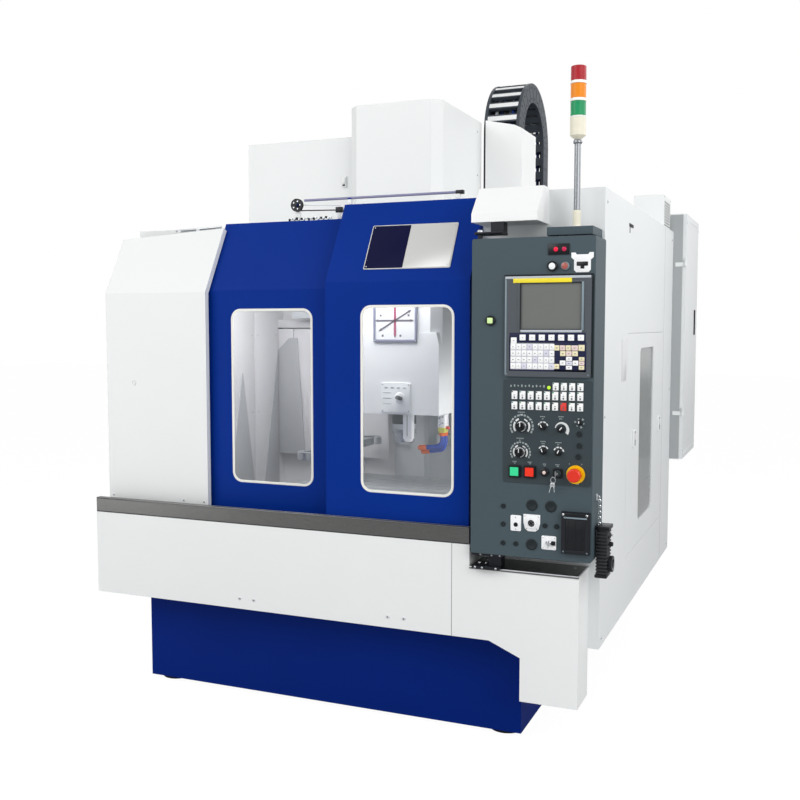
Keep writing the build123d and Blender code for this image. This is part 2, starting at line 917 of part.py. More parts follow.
# Guard in front of the cable chain
with BuildPart() as column_cover:
    guard_outline = [(guard_x[0], roof_top), (guard_x[0], guard_top), (guard_slope_x, guard_slope_z),
                     (guard_x[1], guard_low), (guard_x[1], roof_top)]
    prism_y(guard_outline, guard_y)
    inside_x = (guard_x[0], guard_x[1] - sheet)
    slab(inside_x, (guard_y[0] + sheet, guard_y[1]), (roof_top, guard_top), Mode.SUBTRACT)
finish(column_cover, "column_cover")

# Tool magazine's housing with the drum's bearing and the changer shaft's tube
with BuildPart() as magazine_cover:
    slab(magazine_x, magazine_y, (roof_top, magazine_top))
    inner_z = (roof_top + sheet, magazine_top - sheet)
    slab(spread(magazine_x, -sheet), spread(magazine_y, -sheet), inner_z, Mode.SUBTRACT)
    mouth_x = spread(magazine_x, -magazine_flange)
    mouth_y = spread(magazine_y, -magazine_flange)
    slab(mouth_x, mouth_y, (roof_top, roof_top + sheet), Mode.SUBTRACT)
    plate_z = (roof_top, roof_top + magazine_plate)
    slab(arm_plate_x, arm_plate_y, plate_z)
    rod_z(arm_x, spindle_y, arm_tube, (arm_tube_bottom, roof_level))
    rod_z(arm_x, spindle_y, arm_spigot, (roof_level, plate_z[1]))
    rod_z(arm_x, spindle_y, arm_shaft + running_fit, (arm_tube_bottom, plate_z[1]), Mode.SUBTRACT)
    rod_x(drum_back, drum_z, drum_boss, (magazine_x[0], drum_boss_end))
    bearing_x = (drum_boss_end - drum_seat, drum_boss_end)
    rod_x(drum_back, drum_z, drum_shaft + running_fit, bearing_x, Mode.SUBTRACT)
finish(magazine_cover, "magazine_cover")

# Tool drum: a disc with pots and tool ends round its edge, on a stub shaft
with BuildPart() as magazine_drum:
    rod_x(drum_back, drum_z, drum_radius, (drum_x[0], drum_x[0] + drum_web))
    rod_x(drum_back, drum_z, drum_shaft, (drum_boss_end - drum_seat, drum_x[0]))
    rod_x(drum_back, drum_z, drum_boss, drum_x)
    for pot in range(pot_count):
        angle = radians(pot * full_turn / pot_count)
        pot_place = (drum_back + pot_ring * cos(angle), drum_z + pot_ring * sin(angle))
        rod_x(*pot_place, pot_radius, (drum_x[0], drum_x[0] + pot_depth))
        rod_x(*pot_place, tool_end_radius, (drum_x[0] + pot_depth, drum_x[1]))
finish(magazine_drum, "magazine_drum")

# Double-ended changer arm on its upright shaft, kept by a collar
with BuildPart() as changer_arm:
    slab(around(arm_x, arm_width), around(spindle_y, 2 * arm_reach), arm_z)
    rod_z(arm_x, spindle_y, arm_tip, arm_z)
    for side in (-1, 1):
        tip_y = spindle_y + side * arm_reach
        rod_z(arm_x, tip_y, arm_tip, arm_z)
        rod_z(arm_x, tip_y, arm_jaw, arm_z, Mode.SUBTRACT)
        mouth_x = sorted((arm_x, arm_x - side * arm_tip))
        slab(mouth_x, around(tip_y, 2 * arm_jaw), arm_z, Mode.SUBTRACT)
    collar_bottom = roof_top + magazine_plate + clearance
    rod_z(arm_x, spindle_y, arm_shaft, (arm_z[1], collar_bottom))
    rod_z(arm_x, spindle_y, arm_spigot, (collar_bottom, collar_bottom + magazine_flange))
finish(changer_arm, "changer_arm")

# Cable chain: two side plates bent over in an arch, with cross bars inside and out
with BuildPart() as cable_chain:
    chain_seat = column_top + chain_base
    for side_plate_x in ((chain_x[0], chain_x[0] + chain_side), (chain_x[1] - chain_side, chain_x[1])):
        rod_x(chain_middle, chain_rise, chain_outer, side_plate_x)
        rod_x(chain_middle, chain_rise, chain_inner, side_plate_x, Mode.SUBTRACT)
        below = (chain_seat - chain_outer, chain_rise)
        slab(side_plate_x, around(chain_middle, 2 * chain_outer), below, Mode.SUBTRACT)
        leg_z = (chain_seat, chain_rise)
        slab(side_plate_x, (chain_middle - chain_outer, chain_middle - chain_inner), leg_z)
        slab(side_plate_x, (chain_middle + chain_inner, chain_middle + chain_outer), leg_z)
    slat_x = (chain_x[0] + chain_side, chain_x[1] - chain_side)
    bar_thick = chain_slat_rise - 2 * chain_slat_step
    bar_radii = (chain_inner + chain_slat_step, chain_outer - chain_slat_step - bar_thick)
    for slat in range(chain_slats):
        turn = half_turn * slat / (chain_slats - 1)
        for bar_radius in bar_radii:
            bar = [(-chain_slat_width / 2, bar_radius), (chain_slat_width / 2, bar_radius),
                   (chain_slat_width / 2, bar_radius + bar_thick),
                   (-chain_slat_width / 2, bar_radius + bar_thick)]
            prism_x([turned(point, turn - half_turn / 2) for point in bar], slat_x)
    leg_pitch = (chain_rise - chain_seat) / chain_leg_slats
    for slat in range(1, chain_leg_slats):
        bar_z = around(chain_rise - slat * leg_pitch, chain_slat_width)
        for side in (-1, 1):
            for bar_radius in bar_radii:
                bar_y = sorted((chain_middle + side * bar_radius,
                                chain_middle + side * (bar_radius + bar_thick)))
                slab(slat_x, bar_y, bar_z)
    slab((chain_foot_left, chain_x[1]), around(chain_middle, 2 * chain_outer), (column_top, chain_seat))
finish(cable_chain, "cable_chain")

# Electrical cabinet behind the column, open at its right end, and the cooler beside it
with BuildPart() as electrical_cabinet:
    cabinet_x = (cabinet_left, cabinet_edge)
    cabinet_y = (cabinet_front, cabinet_rear)
    cabinet_z = (cabinet_bottom, cabinet_top)
    slab(cabinet_x, cabinet_y, cabinet_z)
    inner_x = (cabinet_left + sheet, cabinet_edge - sheet)
    slab(inner_x, spread(cabinet_y, -sheet), spread(cabinet_z, -sheet), Mode.SUBTRACT)
    door_hole = (cabinet_edge - sheet, cabinet_edge)
    slab(door_hole, spread(cabinet_y, -cabinet_lip), spread(cabinet_z, -cabinet_lip), Mode.SUBTRACT)
    plate_y = (cabinet_rear - cabinet_lip, cabinet_rear - sheet)
    slab((cabinet_left + cabinet_lip, cabinet_edge - cabinet_lip), plate_y, spread(cabinet_z, -cabinet_lip))
    for spacer_x in cabinet_spacers:
        for spacer_z in cabinet_spacer_z:
            slab(spacer_x, (column_rear, cabinet_front), around(spacer_z, screw_block))
    for knuckle_z in cabinet_knuckle_z:
        lower_z = (knuckle_z, knuckle_z + cabinet_knuckle_height / 2)
        leaf_y = (cabinet_front - sheet, cabinet_front)
        slab((cabinet_edge - cabinet_lip, cabinet_pin_x), leaf_y, lower_z)
        rod_z(cabinet_pin_x, cabinet_pin_y, cabinet_knuckle, lower_z)
        rod_z(cabinet_pin_x, cabinet_pin_y, cabinet_pin, (knuckle_z, knuckle_z + cabinet_knuckle_height))
    slab(cooler_x, cooler_y, (side_top, side_top + cooler_height))
finish(electrical_cabinet, "electrical_cabinet")

# Cabinet door with its hinge knuckles
with BuildPart() as cabinet_door:
    slab(cabinet_door_x, spread(cabinet_y, -cabinet_door_inset), spread(cabinet_z, -cabinet_door_inset))
    for knuckle_z in cabinet_knuckle_z:
        upper_z = (knuckle_z + cabinet_knuckle_height / 2 + clearance, knuckle_z + cabinet_knuckle_height)
        leaf_x = (cabinet_door_x[1] - cabinet_knuckle, cabinet_door_x[1])
        slab(leaf_x, (cabinet_pin_y, cabinet_front + cabinet_door_inset), upper_z)
        rod_z(cabinet_pin_x, cabinet_pin_y, cabinet_knuckle, upper_z)
        rod_z(cabinet_pin_x, cabinet_pin_y, cabinet_pin + running_fit, upper_z, Mode.SUBTRACT)
    pin_z = middle(cabinet_handle_z)
    rod_x(cabinet_handle_y, pin_z, cabinet_handle_pin + running_fit, cabinet_door_x, Mode.SUBTRACT)
finish(cabinet_door, "cabinet_door")

# Turning handle of the cabinet door, unlatched: a quarter turn takes its tongue behind the edge
with BuildPart() as cabinet_latch:
    handle_x = (cabinet_door_x[1] + clearance, cabinet_door_x[1] + clearance + cabinet_handle_rise)
    slab(handle_x, around(cabinet_handle_y, cabinet_handle_width), cabinet_handle_z)
    tongue_back = cabinet_edge - sheet - clearance
    rod_x(cabinet_handle_y, pin_z, cabinet_handle_pin, (tongue_back - tongue_thick, handle_x[0]))
    tongue_reach = cabinet_rear - cabinet_lip + tongue_bite - cabinet_handle_y
    tongue_z = (pin_z - tongue_reach, pin_z + cabinet_handle_width / 2)
    slab((tongue_back - tongue_thick, tongue_back), around(cabinet_handle_y, cabinet_handle_width), tongue_z)
finish(cabinet_latch, "cabinet_latch")

def door(x, fold, window_x, window_z):
    # A folded door skin, open at the back, with a hole and a frame for its window
    front, kink, top_back, top, bottom = fold
    lean = atan2(top_back - front, top - kink)
    outer = folded_outline(*fold, door_depth)
    skin = folded_outline(*fold, door_skin)
    beyond = folded_outline(*fold, door_depth + door_frame)
    drop = (door_skin * sin(lean), door_skin * cos(lean))
    pocket = [(front + door_skin, bottom + door_skin), skin[4],
              (skin[3][0] - drop[0], skin[3][1] - drop[1]),
              (beyond[3][0] - drop[0], beyond[3][1] - drop[1]),
              beyond[4], (beyond[5][0], bottom + door_skin)]
    prism_x(outer, x)
    prism_x(pocket, spread(x, -door_skin), Mode.SUBTRACT)
    frame_y = (front + door_skin, front + door_skin + frame_depth)
    rounded_y(spread(window_x, door_frame), spread(window_z, door_frame), window_corner, frame_y)
    seat_x = spread(window_x, pane_lap)
    seat_z = spread(window_z, pane_lap)
    rounded_y(seat_x, seat_z, window_corner, frame_y, Mode.SUBTRACT)
    hole_y = (front, front + door_skin)
    rounded_y(window_x, window_z, window_corner, hole_y, Mode.SUBTRACT)


# Left door with the bracket and pin of its pulley
with BuildPart() as left_door:
    left_fold = (left_door_front, left_door_kink, left_door_top_back, left_door_top, door_bottom)
    door(left_door_x, left_fold, left_window_x, left_window_z)
    bracket_x = around(pulley_x, pulley_plate_width)
    plate_front = pulley_back + pulley_width / 2 + clearance
    plate_z = (left_door_top - door_depth / 2 - door_skin, pulley_z + pulley_plate_width / 2)
    slab(bracket_x, (plate_front, plate_front + pulley_plate), plate_z)
    pin_y = (pulley_back - pulley_width / 2 - clearance, plate_front)
    rod_y(pulley_x, pulley_z, pulley_pin, pin_y)
    rod_y(pulley_x, pulley_z, pulley_head, (pin_y[0] - pulley_pin, pin_y[0]))
finish(left_door, "left_door")

with BuildPart() as left_window:
    pane_y = (left_door_front + door_skin, left_door_front + door_skin + pane_depth)
    rounded_y(spread(left_window_x, pane_lap), spread(left_window_z, pane_lap), window_corner, pane_y)
finish(left_window, "left_window")

# Pulley of the telescoping drive, with two flanges
with BuildPart() as door_pulley:
    pulley_y = around(pulley_back, pulley_width)
    rod_y(pulley_x, pulley_z, pulley_radius, pulley_y)
    with BuildSketch(Plane.XZ.offset(-back(pulley_y[1] - pulley_flange))) as belt_seat:
        with Locations((across(pulley_x), pulley_z)):
            Circle(pulley_radius)
            Circle(pulley_radius - pulley_flange, mode=Mode.SUBTRACT)
    extrude(belt_seat.sketch, amount=pulley_width - 2 * pulley_flange, mode=Mode.SUBTRACT)
    rod_y(pulley_x, pulley_z, pulley_pin + running_fit, pulley_y, Mode.SUBTRACT)
finish(door_pulley, "door_pulley")

# Right door with the drive's bar on two posts
with BuildPart() as right_door:
    right_fold = (right_door_front, right_door_kink, right_door_top_back, right_door_top, door_bottom)
    door(right_door_x, right_fold, right_window_x, right_window_z)
    rod_x(tie_bar_back, tie_bar_z, tie_bar_radius, tie_bar_x)
    for post_x in (right_door_x[0] + tie_bar_post, tie_bar_x[1] - tie_bar_post):
        post_z = (right_door_top - tie_bar_post, tie_bar_z)
        slab(around(post_x, tie_bar_post), around(tie_bar_back, tie_bar_post), post_z)
finish(right_door, "right_door")

with BuildPart() as right_window:
    pane_y = (right_door_front + door_skin, right_door_front + door_skin + pane_depth)
    rounded_y(spread(right_window_x, pane_lap), spread(right_window_z, pane_lap), window_corner, pane_y)
finish(right_window, "right_window")

# Bare plate on the right door's sloping part
with BuildPart() as nameplate:
    right_lean = atan2(right_door_top_back - right_door_front, right_door_top - right_door_kink)
    plate_outline = []
    for slant, rise in ((0, 0), (1, 0), (1, nameplate_rise), (0, nameplate_rise)):
        along = nameplate_slant[slant]
        plate_outline.append((right_door_front + along * sin(right_lean) - rise * cos(right_lean),
                              right_door_kink + along * cos(right_lean) + rise * sin(right_lean)))
    prism_x(plate_outline, nameplate_x)
    thin_edges = [edge for edge in nameplate.edges() if edge.length < nameplate_rise + clearance]
    fillet(thin_edges, radius=nameplate_corner)
finish(nameplate, "nameplate")

# Saddle on the base's ways, with the table's rails and the cross feed screw's bearings
saddle_bottom = column_seat + clearance
saddle_top = saddle_bottom + saddle_height
saddle_x = around(head_x, 2 * saddle_half_x)
saddle_y = around(spindle_y, 2 * saddle_half_y)
table_bottom = saddle_top + saddle_rail_height + clearance
x_screw_top = x_screw_z + x_screw_channel / 2
with BuildPart() as saddle:
    slab(saddle_x, saddle_y, (saddle_bottom, saddle_top))
    for side in (-1, 1):
        guide_x = head_x + side * (way_spread + way_width / 2 + clearance + saddle_guide / 2)
        slab(around(guide_x, saddle_guide), saddle_y, (saddle_bottom - saddle_guide, saddle_bottom))
        rail_y = around(spindle_y + side * saddle_rail_spread, saddle_rail_width)
        slab(saddle_x, rail_y, (saddle_top, saddle_top + saddle_rail_height))
    channel_y = around(spindle_y, x_screw_channel)
    channel_z = (x_screw_z - x_screw_channel / 2, saddle_top)
    channel_x = spread(saddle_x, -screw_block)
    slab(channel_x, channel_y, channel_z, Mode.SUBTRACT)
    for block_x in (saddle_x[0], saddle_x[1] - screw_block):
        block_z = (saddle_top, x_screw_z + nut_radius)
        slab((block_x, block_x + screw_block), around(spindle_y, 2 * nut_radius), block_z)
    rod_x(spindle_y, x_screw_z, screw_radius + running_fit, saddle_x, Mode.SUBTRACT)
    nut_z = (y_screw_z - nut_radius, saddle_bottom)
    slab(around(head_x, 2 * nut_radius), around(spindle_y, nut_length), nut_z)
    rod_y(head_x, y_screw_z, screw_radius + running_fit, around(spindle_y, nut_length), Mode.SUBTRACT)
finish(saddle, "saddle")

# Table with five T-slots and the cross feed nut below
with BuildPart() as table:
    table_x = around(head_x, 2 * table_half_x)
    slab(table_x, around(spindle_y, 2 * table_half_y), (table_bottom, table_top))
    for slot in range(table_slot_count):
        slot_middle = spindle_y + (slot - (table_slot_count - 1) / 2) * table_slot_pitch
        groove_z = (table_top - table_slot_depth, table_top)
        slab(table_x, around(slot_middle, table_slot), groove_z, Mode.SUBTRACT)
        foot_z = (table_top - table_slot_depth, table_top - table_slot_depth + table_slot_deep)
        slab(table_x, around(slot_middle, table_slot_wide), foot_z, Mode.SUBTRACT)
    slab(table_x, channel_y, (table_bottom, x_screw_top), Mode.SUBTRACT)
    for side in (-1, 1):
        guide_spread = saddle_rail_spread + saddle_rail_width / 2 + clearance + table_guide / 2
        guide_y = spindle_y + side * guide_spread
        guide_z = (saddle_top + table_guide / 2, table_bottom)
        slab(table_x, around(guide_y, table_guide), guide_z)
    nut_x = around(head_x, nut_length)
    slab(nut_x, around(spindle_y, 2 * nut_radius), (x_screw_z - nut_radius, x_screw_top))
    rod_x(spindle_y, x_screw_z, screw_radius + running_fit, nut_x, Mode.SUBTRACT)
finish(table, "table")

# The three feed screws
with BuildPart() as x_screw:
    rod_x(spindle_y, x_screw_z, screw_radius, saddle_x)
finish(x_screw, "x_screw")

with BuildPart() as y_screw:
    rod_y(head_x, y_screw_z, screw_radius, (way_front, way_rear))
finish(y_screw, "y_screw")

with BuildPart() as z_screw:
    rod_z(head_x, z_screw_back, screw_radius, screw_z)
finish(z_screw, "z_screw")

# Spindle head: housing, nose, motor, the carriage on the column's rails and its nut
with BuildPart() as spindle_head:
    slab(around(head_x, 2 * head_half), (head_arm_front, head_rear), (head_bottom, head_top))
    slab(around(head_x, 2 * head_housing_radius), (spindle_y, head_arm_front), (head_bottom, head_top))
    rod_z(head_x, spindle_y, head_housing_radius, (head_bottom, head_top))
    rod_z(head_x, spindle_y, head_nose_radius, (head_nose_bottom, head_bottom))
    rod_z(head_x, spindle_y, head_bore, (head_nose_bottom, head_top), Mode.SUBTRACT)
    rod_z(head_x, spindle_y, motor_radius, (head_top, head_top + motor_height))
    carriage_rear = column_front - column_rail_depth - clearance
    slab(around(head_x, 2 * carriage_half), (head_rear, carriage_rear), carriage_z)
    for side in (-1, 1):
        gib_x = head_x + side * (column_rail_spread - column_rail_width / 2 - clearance - gib_width / 2)
        slab(around(gib_x, gib_width), (carriage_rear, carriage_rear + gib_depth), carriage_z)
    slab(around(head_x, 2 * nut_radius), (head_rear, z_nut_rear), z_nut_z)
    rod_z(head_x, z_screw_back, screw_radius + running_fit, z_nut_z, Mode.SUBTRACT)
finish(spindle_head, "spindle_head")

# White sheet cover round the head, open at the back
with BuildPart() as head_cover:
    cover_x = around(head_x, 2 * head_cover_half)
    cover_z = (head_cover_bottom, head_cover_top)
    skirt_z = (head_cover_bottom, head_skirt_top)
    prism_z(bevelled(cover_x, (head_cover_front, head_rear), head_cover_chamfer), cover_z)
    prism_y(cut_top(cover_x, skirt_z, head_skirt_cut), (head_skirt_front, head_rear))
    inner = bevelled(spread(cover_x, -sheet), (head_cover_front + sheet, head_rear), head_cover_chamfer)
    prism_z(inner, spread(cover_z, -sheet), Mode.SUBTRACT)
    skirt_inner = cut_top(spread(cover_x, -sheet), spread(skirt_z, -sheet), head_skirt_cut)
    prism_y(skirt_inner, (head_skirt_front + sheet, head_rear), Mode.SUBTRACT)
    bottom_z = (head_cover_bottom, head_cover_bottom + sheet)
    rod_z(head_x, spindle_y, head_nose_radius, bottom_z, Mode.SUBTRACT)
finish(head_cover, "head_cover")

# Spindle with its taper and two drive keys
with BuildPart() as spindle:
    nose_z = (spindle_nose_bottom, head_nose_bottom - clearance)
    rod_z(head_x, spindle_y, spindle_nose_radius, nose_z)
    rod_z(head_x, spindle_y, spindle_nose_radius, spindle_groove_z, Mode.SUBTRACT)
    rod_z(head_x, spindle_y, spindle_nose_radius - spindle_groove, spindle_groove_z)
    rod_z(head_x, spindle_y, head_bore - running_fit, (nose_z[1], spindle_top))
    taper_z = (spindle_nose_bottom, spindle_nose_bottom + taper_depth)
    cone_z(head_x, spindle_y, (taper_radius, taper_small), taper_z, Mode.SUBTRACT)
    key_z = (spindle_nose_bottom - drive_key_rise, spindle_nose_bottom)
    for side in (-1, 1):
        key_x = head_x + side * (taper_radius + spindle_nose_radius) / 2
        slab(around(key_x, drive_key), around(spindle_y, drive_key), key_z)
finish(spindle, "spindle")

# Coolant block with two jointed hoses, their nozzles and an air pipe beside the nose
with BuildPart() as coolant_nozzles:
    slab(hose_block_x, hose_block_y, (head_cover_bottom - hose_block_drop, head_cover_bottom))
    slab(air_block_x, air_block_y, (air_block_bottom, head_cover_bottom))
    start_z = head_cover_bottom - hose_block_drop
    for hose_back, top_x, hose_turn, tip in zip(hose_y, hose_top_x, hose_turns, hose_tips):
        stops = [(top_x, start_z), (top_x, hose_knee_z), hose_turn, tip]
        for start, end in zip(stops[:-1], stops[1:]):
            round_bar(start, end, hose_back, hose_radius)
        for stop in stops[1:-1]:
            with Locations((across(stop[0]), back(hose_back), stop[1])):
                Sphere(hose_radius)
        reach = hypot(tip[0] - hose_turn[0], tip[1] - hose_turn[1])
        share = nozzle_length / reach
        nozzle_start = (tip[0] + share * (hose_turn[0] - tip[0]), tip[1] + share * (hose_turn[1] - tip[1]))
        round_bar(nozzle_start, tip, hose_back, nozzle_radius)
finish(coolant_nozzles, "coolant_nozzles")

# Brackets that carry the swivelling operator panel, each with a pin
with BuildPart() as hinge_brackets:
    deck_top = pedestal_deck + sheet
    arm_top = panel_z[0] - clearance
    slab(lower_hinge_base_x, hinge_back, (deck_top, deck_top + lower_hinge_base_z))
    slab(lower_hinge_x, hinge_back, (arm_top - hinge_plate, arm_top))
    slab(hinge_riser_x, hinge_riser_back, (deck_top, arm_top))
    rod_z(hinge_axis_x, hinge_axis_back, hinge_pin, (arm_top, panel_z[0] + hinge_bite))
    slab(upper_hinge_x, hinge_back, (upper_hinge_bottom, upper_hinge_bottom + hinge_plate))
    slab(hinge_riser_x, hinge_riser_back, (upper_hinge_bottom, hood_bottom))
    rod_z(hinge_axis_x, hinge_axis_back, hinge_pin, (panel_z[1] - hinge_bite, upper_hinge_bottom))
finish(hinge_brackets, "hinge_brackets")

# Operator panel's case, open at the back, with its buttons, blanks and lamp block
square_places = (start_at, hold_at)
round_holes = ((feed_dial_at, dial_stem), (spindle_dial_at, dial_stem), (estop_at, estop_stem),
               (key_switch_at, key_stem))
skin_y = (panel_front, panel_front + panel_skin)
with BuildPart() as operator_panel:
    rounded_y(panel_x, panel_z, panel_round, (panel_front, panel_rear))
    inner_y = (panel_front + panel_skin, panel_rear)
    inner_x = spread(panel_x, -panel_skin)
    inner_z = spread(panel_z, -panel_skin)
    rounded_y(inner_x, inner_z, panel_round - panel_skin, inner_y, Mode.SUBTRACT)
    for boss_z in ((panel_z[0], panel_z[0] + hinge_boss), (panel_z[1] - hinge_boss, panel_z[1])):
        slab(around(hinge_axis_x, hinge_boss_width), around(hinge_axis_back, hinge_boss_width), boss_z)
        rod_z(hinge_axis_x, hinge_axis_back, hinge_pin + running_fit, boss_z, Mode.SUBTRACT)
    for place in square_places:
        hole_x = around(place[0], push_size + 2 * clearance)
        slab(hole_x, skin_y, around(place[1], push_size + 2 * clearance), Mode.SUBTRACT)
    for place, radius in round_holes:
        rod_y(*place, radius + running_fit, skin_y, Mode.SUBTRACT)
    for place in button_places[:-1]:
        rod_y(*place, button_radius, (panel_front - push_rise, panel_front))
    for place in low_blanks:
        rod_y(*place, low_blank_radius, (panel_front - plate_rise, panel_front))
    for place in big_blank_places:
        rod_y(*place, big_blank_radius, (panel_front - plate_rise, panel_front))
    slab(lamp_x, (panel_front - plate_rise, panel_front), lamp_z)
finish(operator_panel, "operator_panel")

# Display unit with a recessed frame for the screen
with BuildPart() as display_unit:
    unit_front = panel_front - display_rise
    rounded_y(display_x, display_z, panel_round, (unit_front, panel_front))
    slab(screen_frame_x, (unit_front, unit_front + screen_recess), screen_frame_z, Mode.SUBTRACT)
finish(display_unit, "display_unit")

with BuildPart() as display_screen:
    screen_y = (unit_front + screen_recess / 2, unit_front + screen_recess)
    slab(screen_frame_x, screen_y, screen_frame_z)
finish(display_screen, "display_screen")

# Keys of the display unit
with BuildPart() as keypad:
    key_y = (unit_front - key_rise, unit_front)
    key_grid(keypad_x, keypad_z, keypad_columns, keypad_rows, key_y)
    key_grid(side_keypad_x, keypad_z, side_keypad_columns, keypad_rows, key_y)
    key_grid(softkey_x, softkey_z, softkey_count, 1, key_y)
    slab(left_key_x, key_y, softkey_z)
finish(keypad, "keypad")

# Lower control plate with collars, the fixed barrel of the key switch and blanks
with BuildPart() as sub_panel:
    plate_front = panel_front - sub_panel_rise
    plate_y = (plate_front, panel_front)
    rounded_y(sub_panel_x, sub_panel_z, panel_round, plate_y)
    for place in square_places:
        collar_y = (plate_front - push_collar_rise, plate_front)
        slab(around(place[0], push_collar), collar_y, around(place[1], push_collar))
        hole_y = (plate_front - push_collar_rise, panel_front)
        hole_x = around(place[0], push_size + 2 * clearance)
        slab(hole_x, hole_y, around(place[1], push_size + 2 * clearance), Mode.SUBTRACT)
    rod_y(*key_switch_at, key_barrel, (plate_front - key_barrel_rise, plate_front))
    for place in plate_blanks:
        rod_y(*place, blank_radius, (plate_front - plate_rise, plate_front))
    rod_y(*button_places[-1], button_radius, (plate_front - push_rise, plate_front))
    for place, radius in round_holes:
        hole_y = (plate_front - key_barrel_rise, panel_front)
        rod_y(*place, radius + running_fit, hole_y, Mode.SUBTRACT)
finish(sub_panel, "sub_panel")

# White keys of the lower control plate in three rows
with BuildPart() as operator_keys:
    key_y = (plate_front - key_rise, plate_front)
    key_grid(row_one_x, row_z[0], row_one_count, 1, key_y)
    key_grid(row_x, row_z[1], row_count, 1, key_y)
    key_grid(row_x, row_z[2], row_count, 1, key_y)
finish(operator_keys, "operator_keys")

with BuildPart() as selector_knobs:
    for place in knob_places:
        rod_y(*place, knob_radius, (plate_front - knob_rise, plate_front))
finish(selector_knobs, "selector_knobs")

with BuildPart() as estop_ring:
    ring_y = (plate_front - estop_ring_rise, plate_front)
    rod_y(*estop_at, estop_ring_radius, ring_y)
    rod_y(*estop_at, estop_stem + running_fit, ring_y, Mode.SUBTRACT)
finish(estop_ring, "estop_ring")

# Socket, port and lock plates
with BuildPart() as socket_plates:
    low_y = (panel_front - plate_rise, panel_front)
    slab(upper_plate_x, low_y, upper_plate_z)
    rod_y(middle(upper_plate_x), middle(upper_plate_z), lock_radius, (panel_front - lock_rise, panel_front))
    slab(port_plate_x, low_y, port_plate_z)
    slab(socket_plate_x, low_y, socket_plate_z)
    socket_place = (middle(socket_plate_x), middle(socket_plate_z))
    rod_y(*socket_place, socket_radius, (panel_front - lock_rise, panel_front))
    rod_y(*socket_place, socket_bore, (panel_front - lock_rise, panel_front - plate_rise), Mode.SUBTRACT)
    slab(lock_plate_x, low_y, lock_plate_z)
    rod_y(middle(lock_plate_x), middle(lock_plate_z), lock_radius, (panel_front - lock_rise, panel_front))
finish(socket_plates, "socket_plates")

# Small black box low on the panel, with a screw in each corner
with BuildPart() as console_box:
    box_y = (panel_front - console_rise, panel_front)
    slab(console_x, box_y, console_z)
    screw_y = (box_y[0] - key_thick, box_y[0])
    for screw_x in spread(console_x, -console_screw_inset):
        for screw_height in spread(console_z, -console_screw_inset):
            rod_y(screw_x, screw_height, console_screw, screw_y)
finish(console_box, "console_box")

# Hand pendant hung on the panel's right side, with its selector
with BuildPart() as pendant:
    rounded_x(pendant_back, pendant_z, pendant_round, pendant_x)
    slab((panel_x[1], pendant_x[0]), around(middle(pendant_back), wheel_radius), pendant_hook)
    knob_x = (pendant_x[1], pendant_x[1] + selector_rise)
    rod_x(middle(pendant_back), selector_z, selector_radius, knob_x)
    bore_x = (pendant_x[1] - wheel_rise, pendant_x[1])
    rod_x(middle(pendant_back), wheel_z, wheel_stem + running_fit, bore_x, Mode.SUBTRACT)
finish(pendant, "pendant")

with BuildPart() as pendant_wheel:
    wheel_front = pendant_x[1] + clearance
    wheel_place = (middle(pendant_back), wheel_z)
    rod_x(*wheel_place, wheel_radius, (wheel_front, wheel_front + wheel_rise))
    dish_x = (wheel_front + wheel_rise / 2, wheel_front + wheel_rise)
    rod_x(*wheel_place, wheel_dish, dish_x, Mode.SUBTRACT)
    rod_x(*wheel_place, wheel_stem, dish_x)
    rod_x(*wheel_place, wheel_stem, (pendant_x[1] - wheel_rise, wheel_front))
finish(pendant_wheel, "pendant_wheel")


def dial(place):
    # A skirted dial with a grip bar, on a stem through the plate
    rod_y(*place, dial_radius, (plate_front - clearance - dial_skirt_rise, plate_front - clearance))
    skirt_front = plate_front - clearance - dial_skirt_rise
    rod_y(*place, dial_radius - dial_skirt, (plate_front - dial_rise, skirt_front))
    bar_y = (plate_front - dial_rise - dial_skirt, plate_front - dial_rise)
    slab(around(place[0], dial_grip), bar_y, around(place[1], 2 * (dial_radius - dial_skirt)))
    rod_y(*place, dial_stem, (plate_front - clearance, panel_front + panel_skin))


with BuildPart() as feed_dial:
    dial(feed_dial_at)
finish(feed_dial, "feed_dial")

with BuildPart() as spindle_dial:
    dial(spindle_dial_at)
finish(spindle_dial, "spindle_dial")

# Two square push buttons that slide through the plate
button_y = (plate_front - push_collar_rise - push_rise, panel_front + panel_skin)
with BuildPart() as cycle_start:
    slab(around(start_at[0], push_size), button_y, around(start_at[1], push_size))
finish(cycle_start, "cycle_start")

with BuildPart() as feed_hold:
    slab(around(hold_at[0], push_size), button_y, around(hold_at[1], push_size))
finish(feed_hold, "feed_hold")

# Emergency stop's mushroom head on its stem
with BuildPart() as emergency_stop:
    head_front = panel_front - emergency_stop_rise
    head_back = plate_front - estop_ring_rise - estop_travel - estop_gap
    rod_y(*estop_at, estop_head, (head_front, head_back))
    fillet(emergency_stop.edges().group_by(Axis.Y)[0], radius=estop_round)
    rod_y(*estop_at, estop_stem, (head_back, panel_front + panel_skin))
finish(emergency_stop, "emergency_stop")

# Key in its switch
with BuildPart() as key_switch:
    barrel_front = plate_front - key_barrel_rise
    grip_y = (barrel_front - key_rise_out, barrel_front - clearance)
    slab(around(key_switch_at[0], key_thick), grip_y, around(key_switch_at[1], key_grip))
    rod_y(*key_switch_at, key_stem, (barrel_front - clearance - key_thick, panel_front + panel_skin))
finish(key_switch, "key_switch")

# Bracket of the signal tower on the front wall
with BuildPart() as tower_bracket:
    slab(bracket_place_x, (bracket_front, side_front), bracket_z)
    inner_z = (bracket_z[0], bracket_z[1] - sheet)
    slab(spread(bracket_place_x, -sheet), (bracket_front + sheet, side_front), inner_z, Mode.SUBTRACT)
finish(tower_bracket, "tower_bracket")

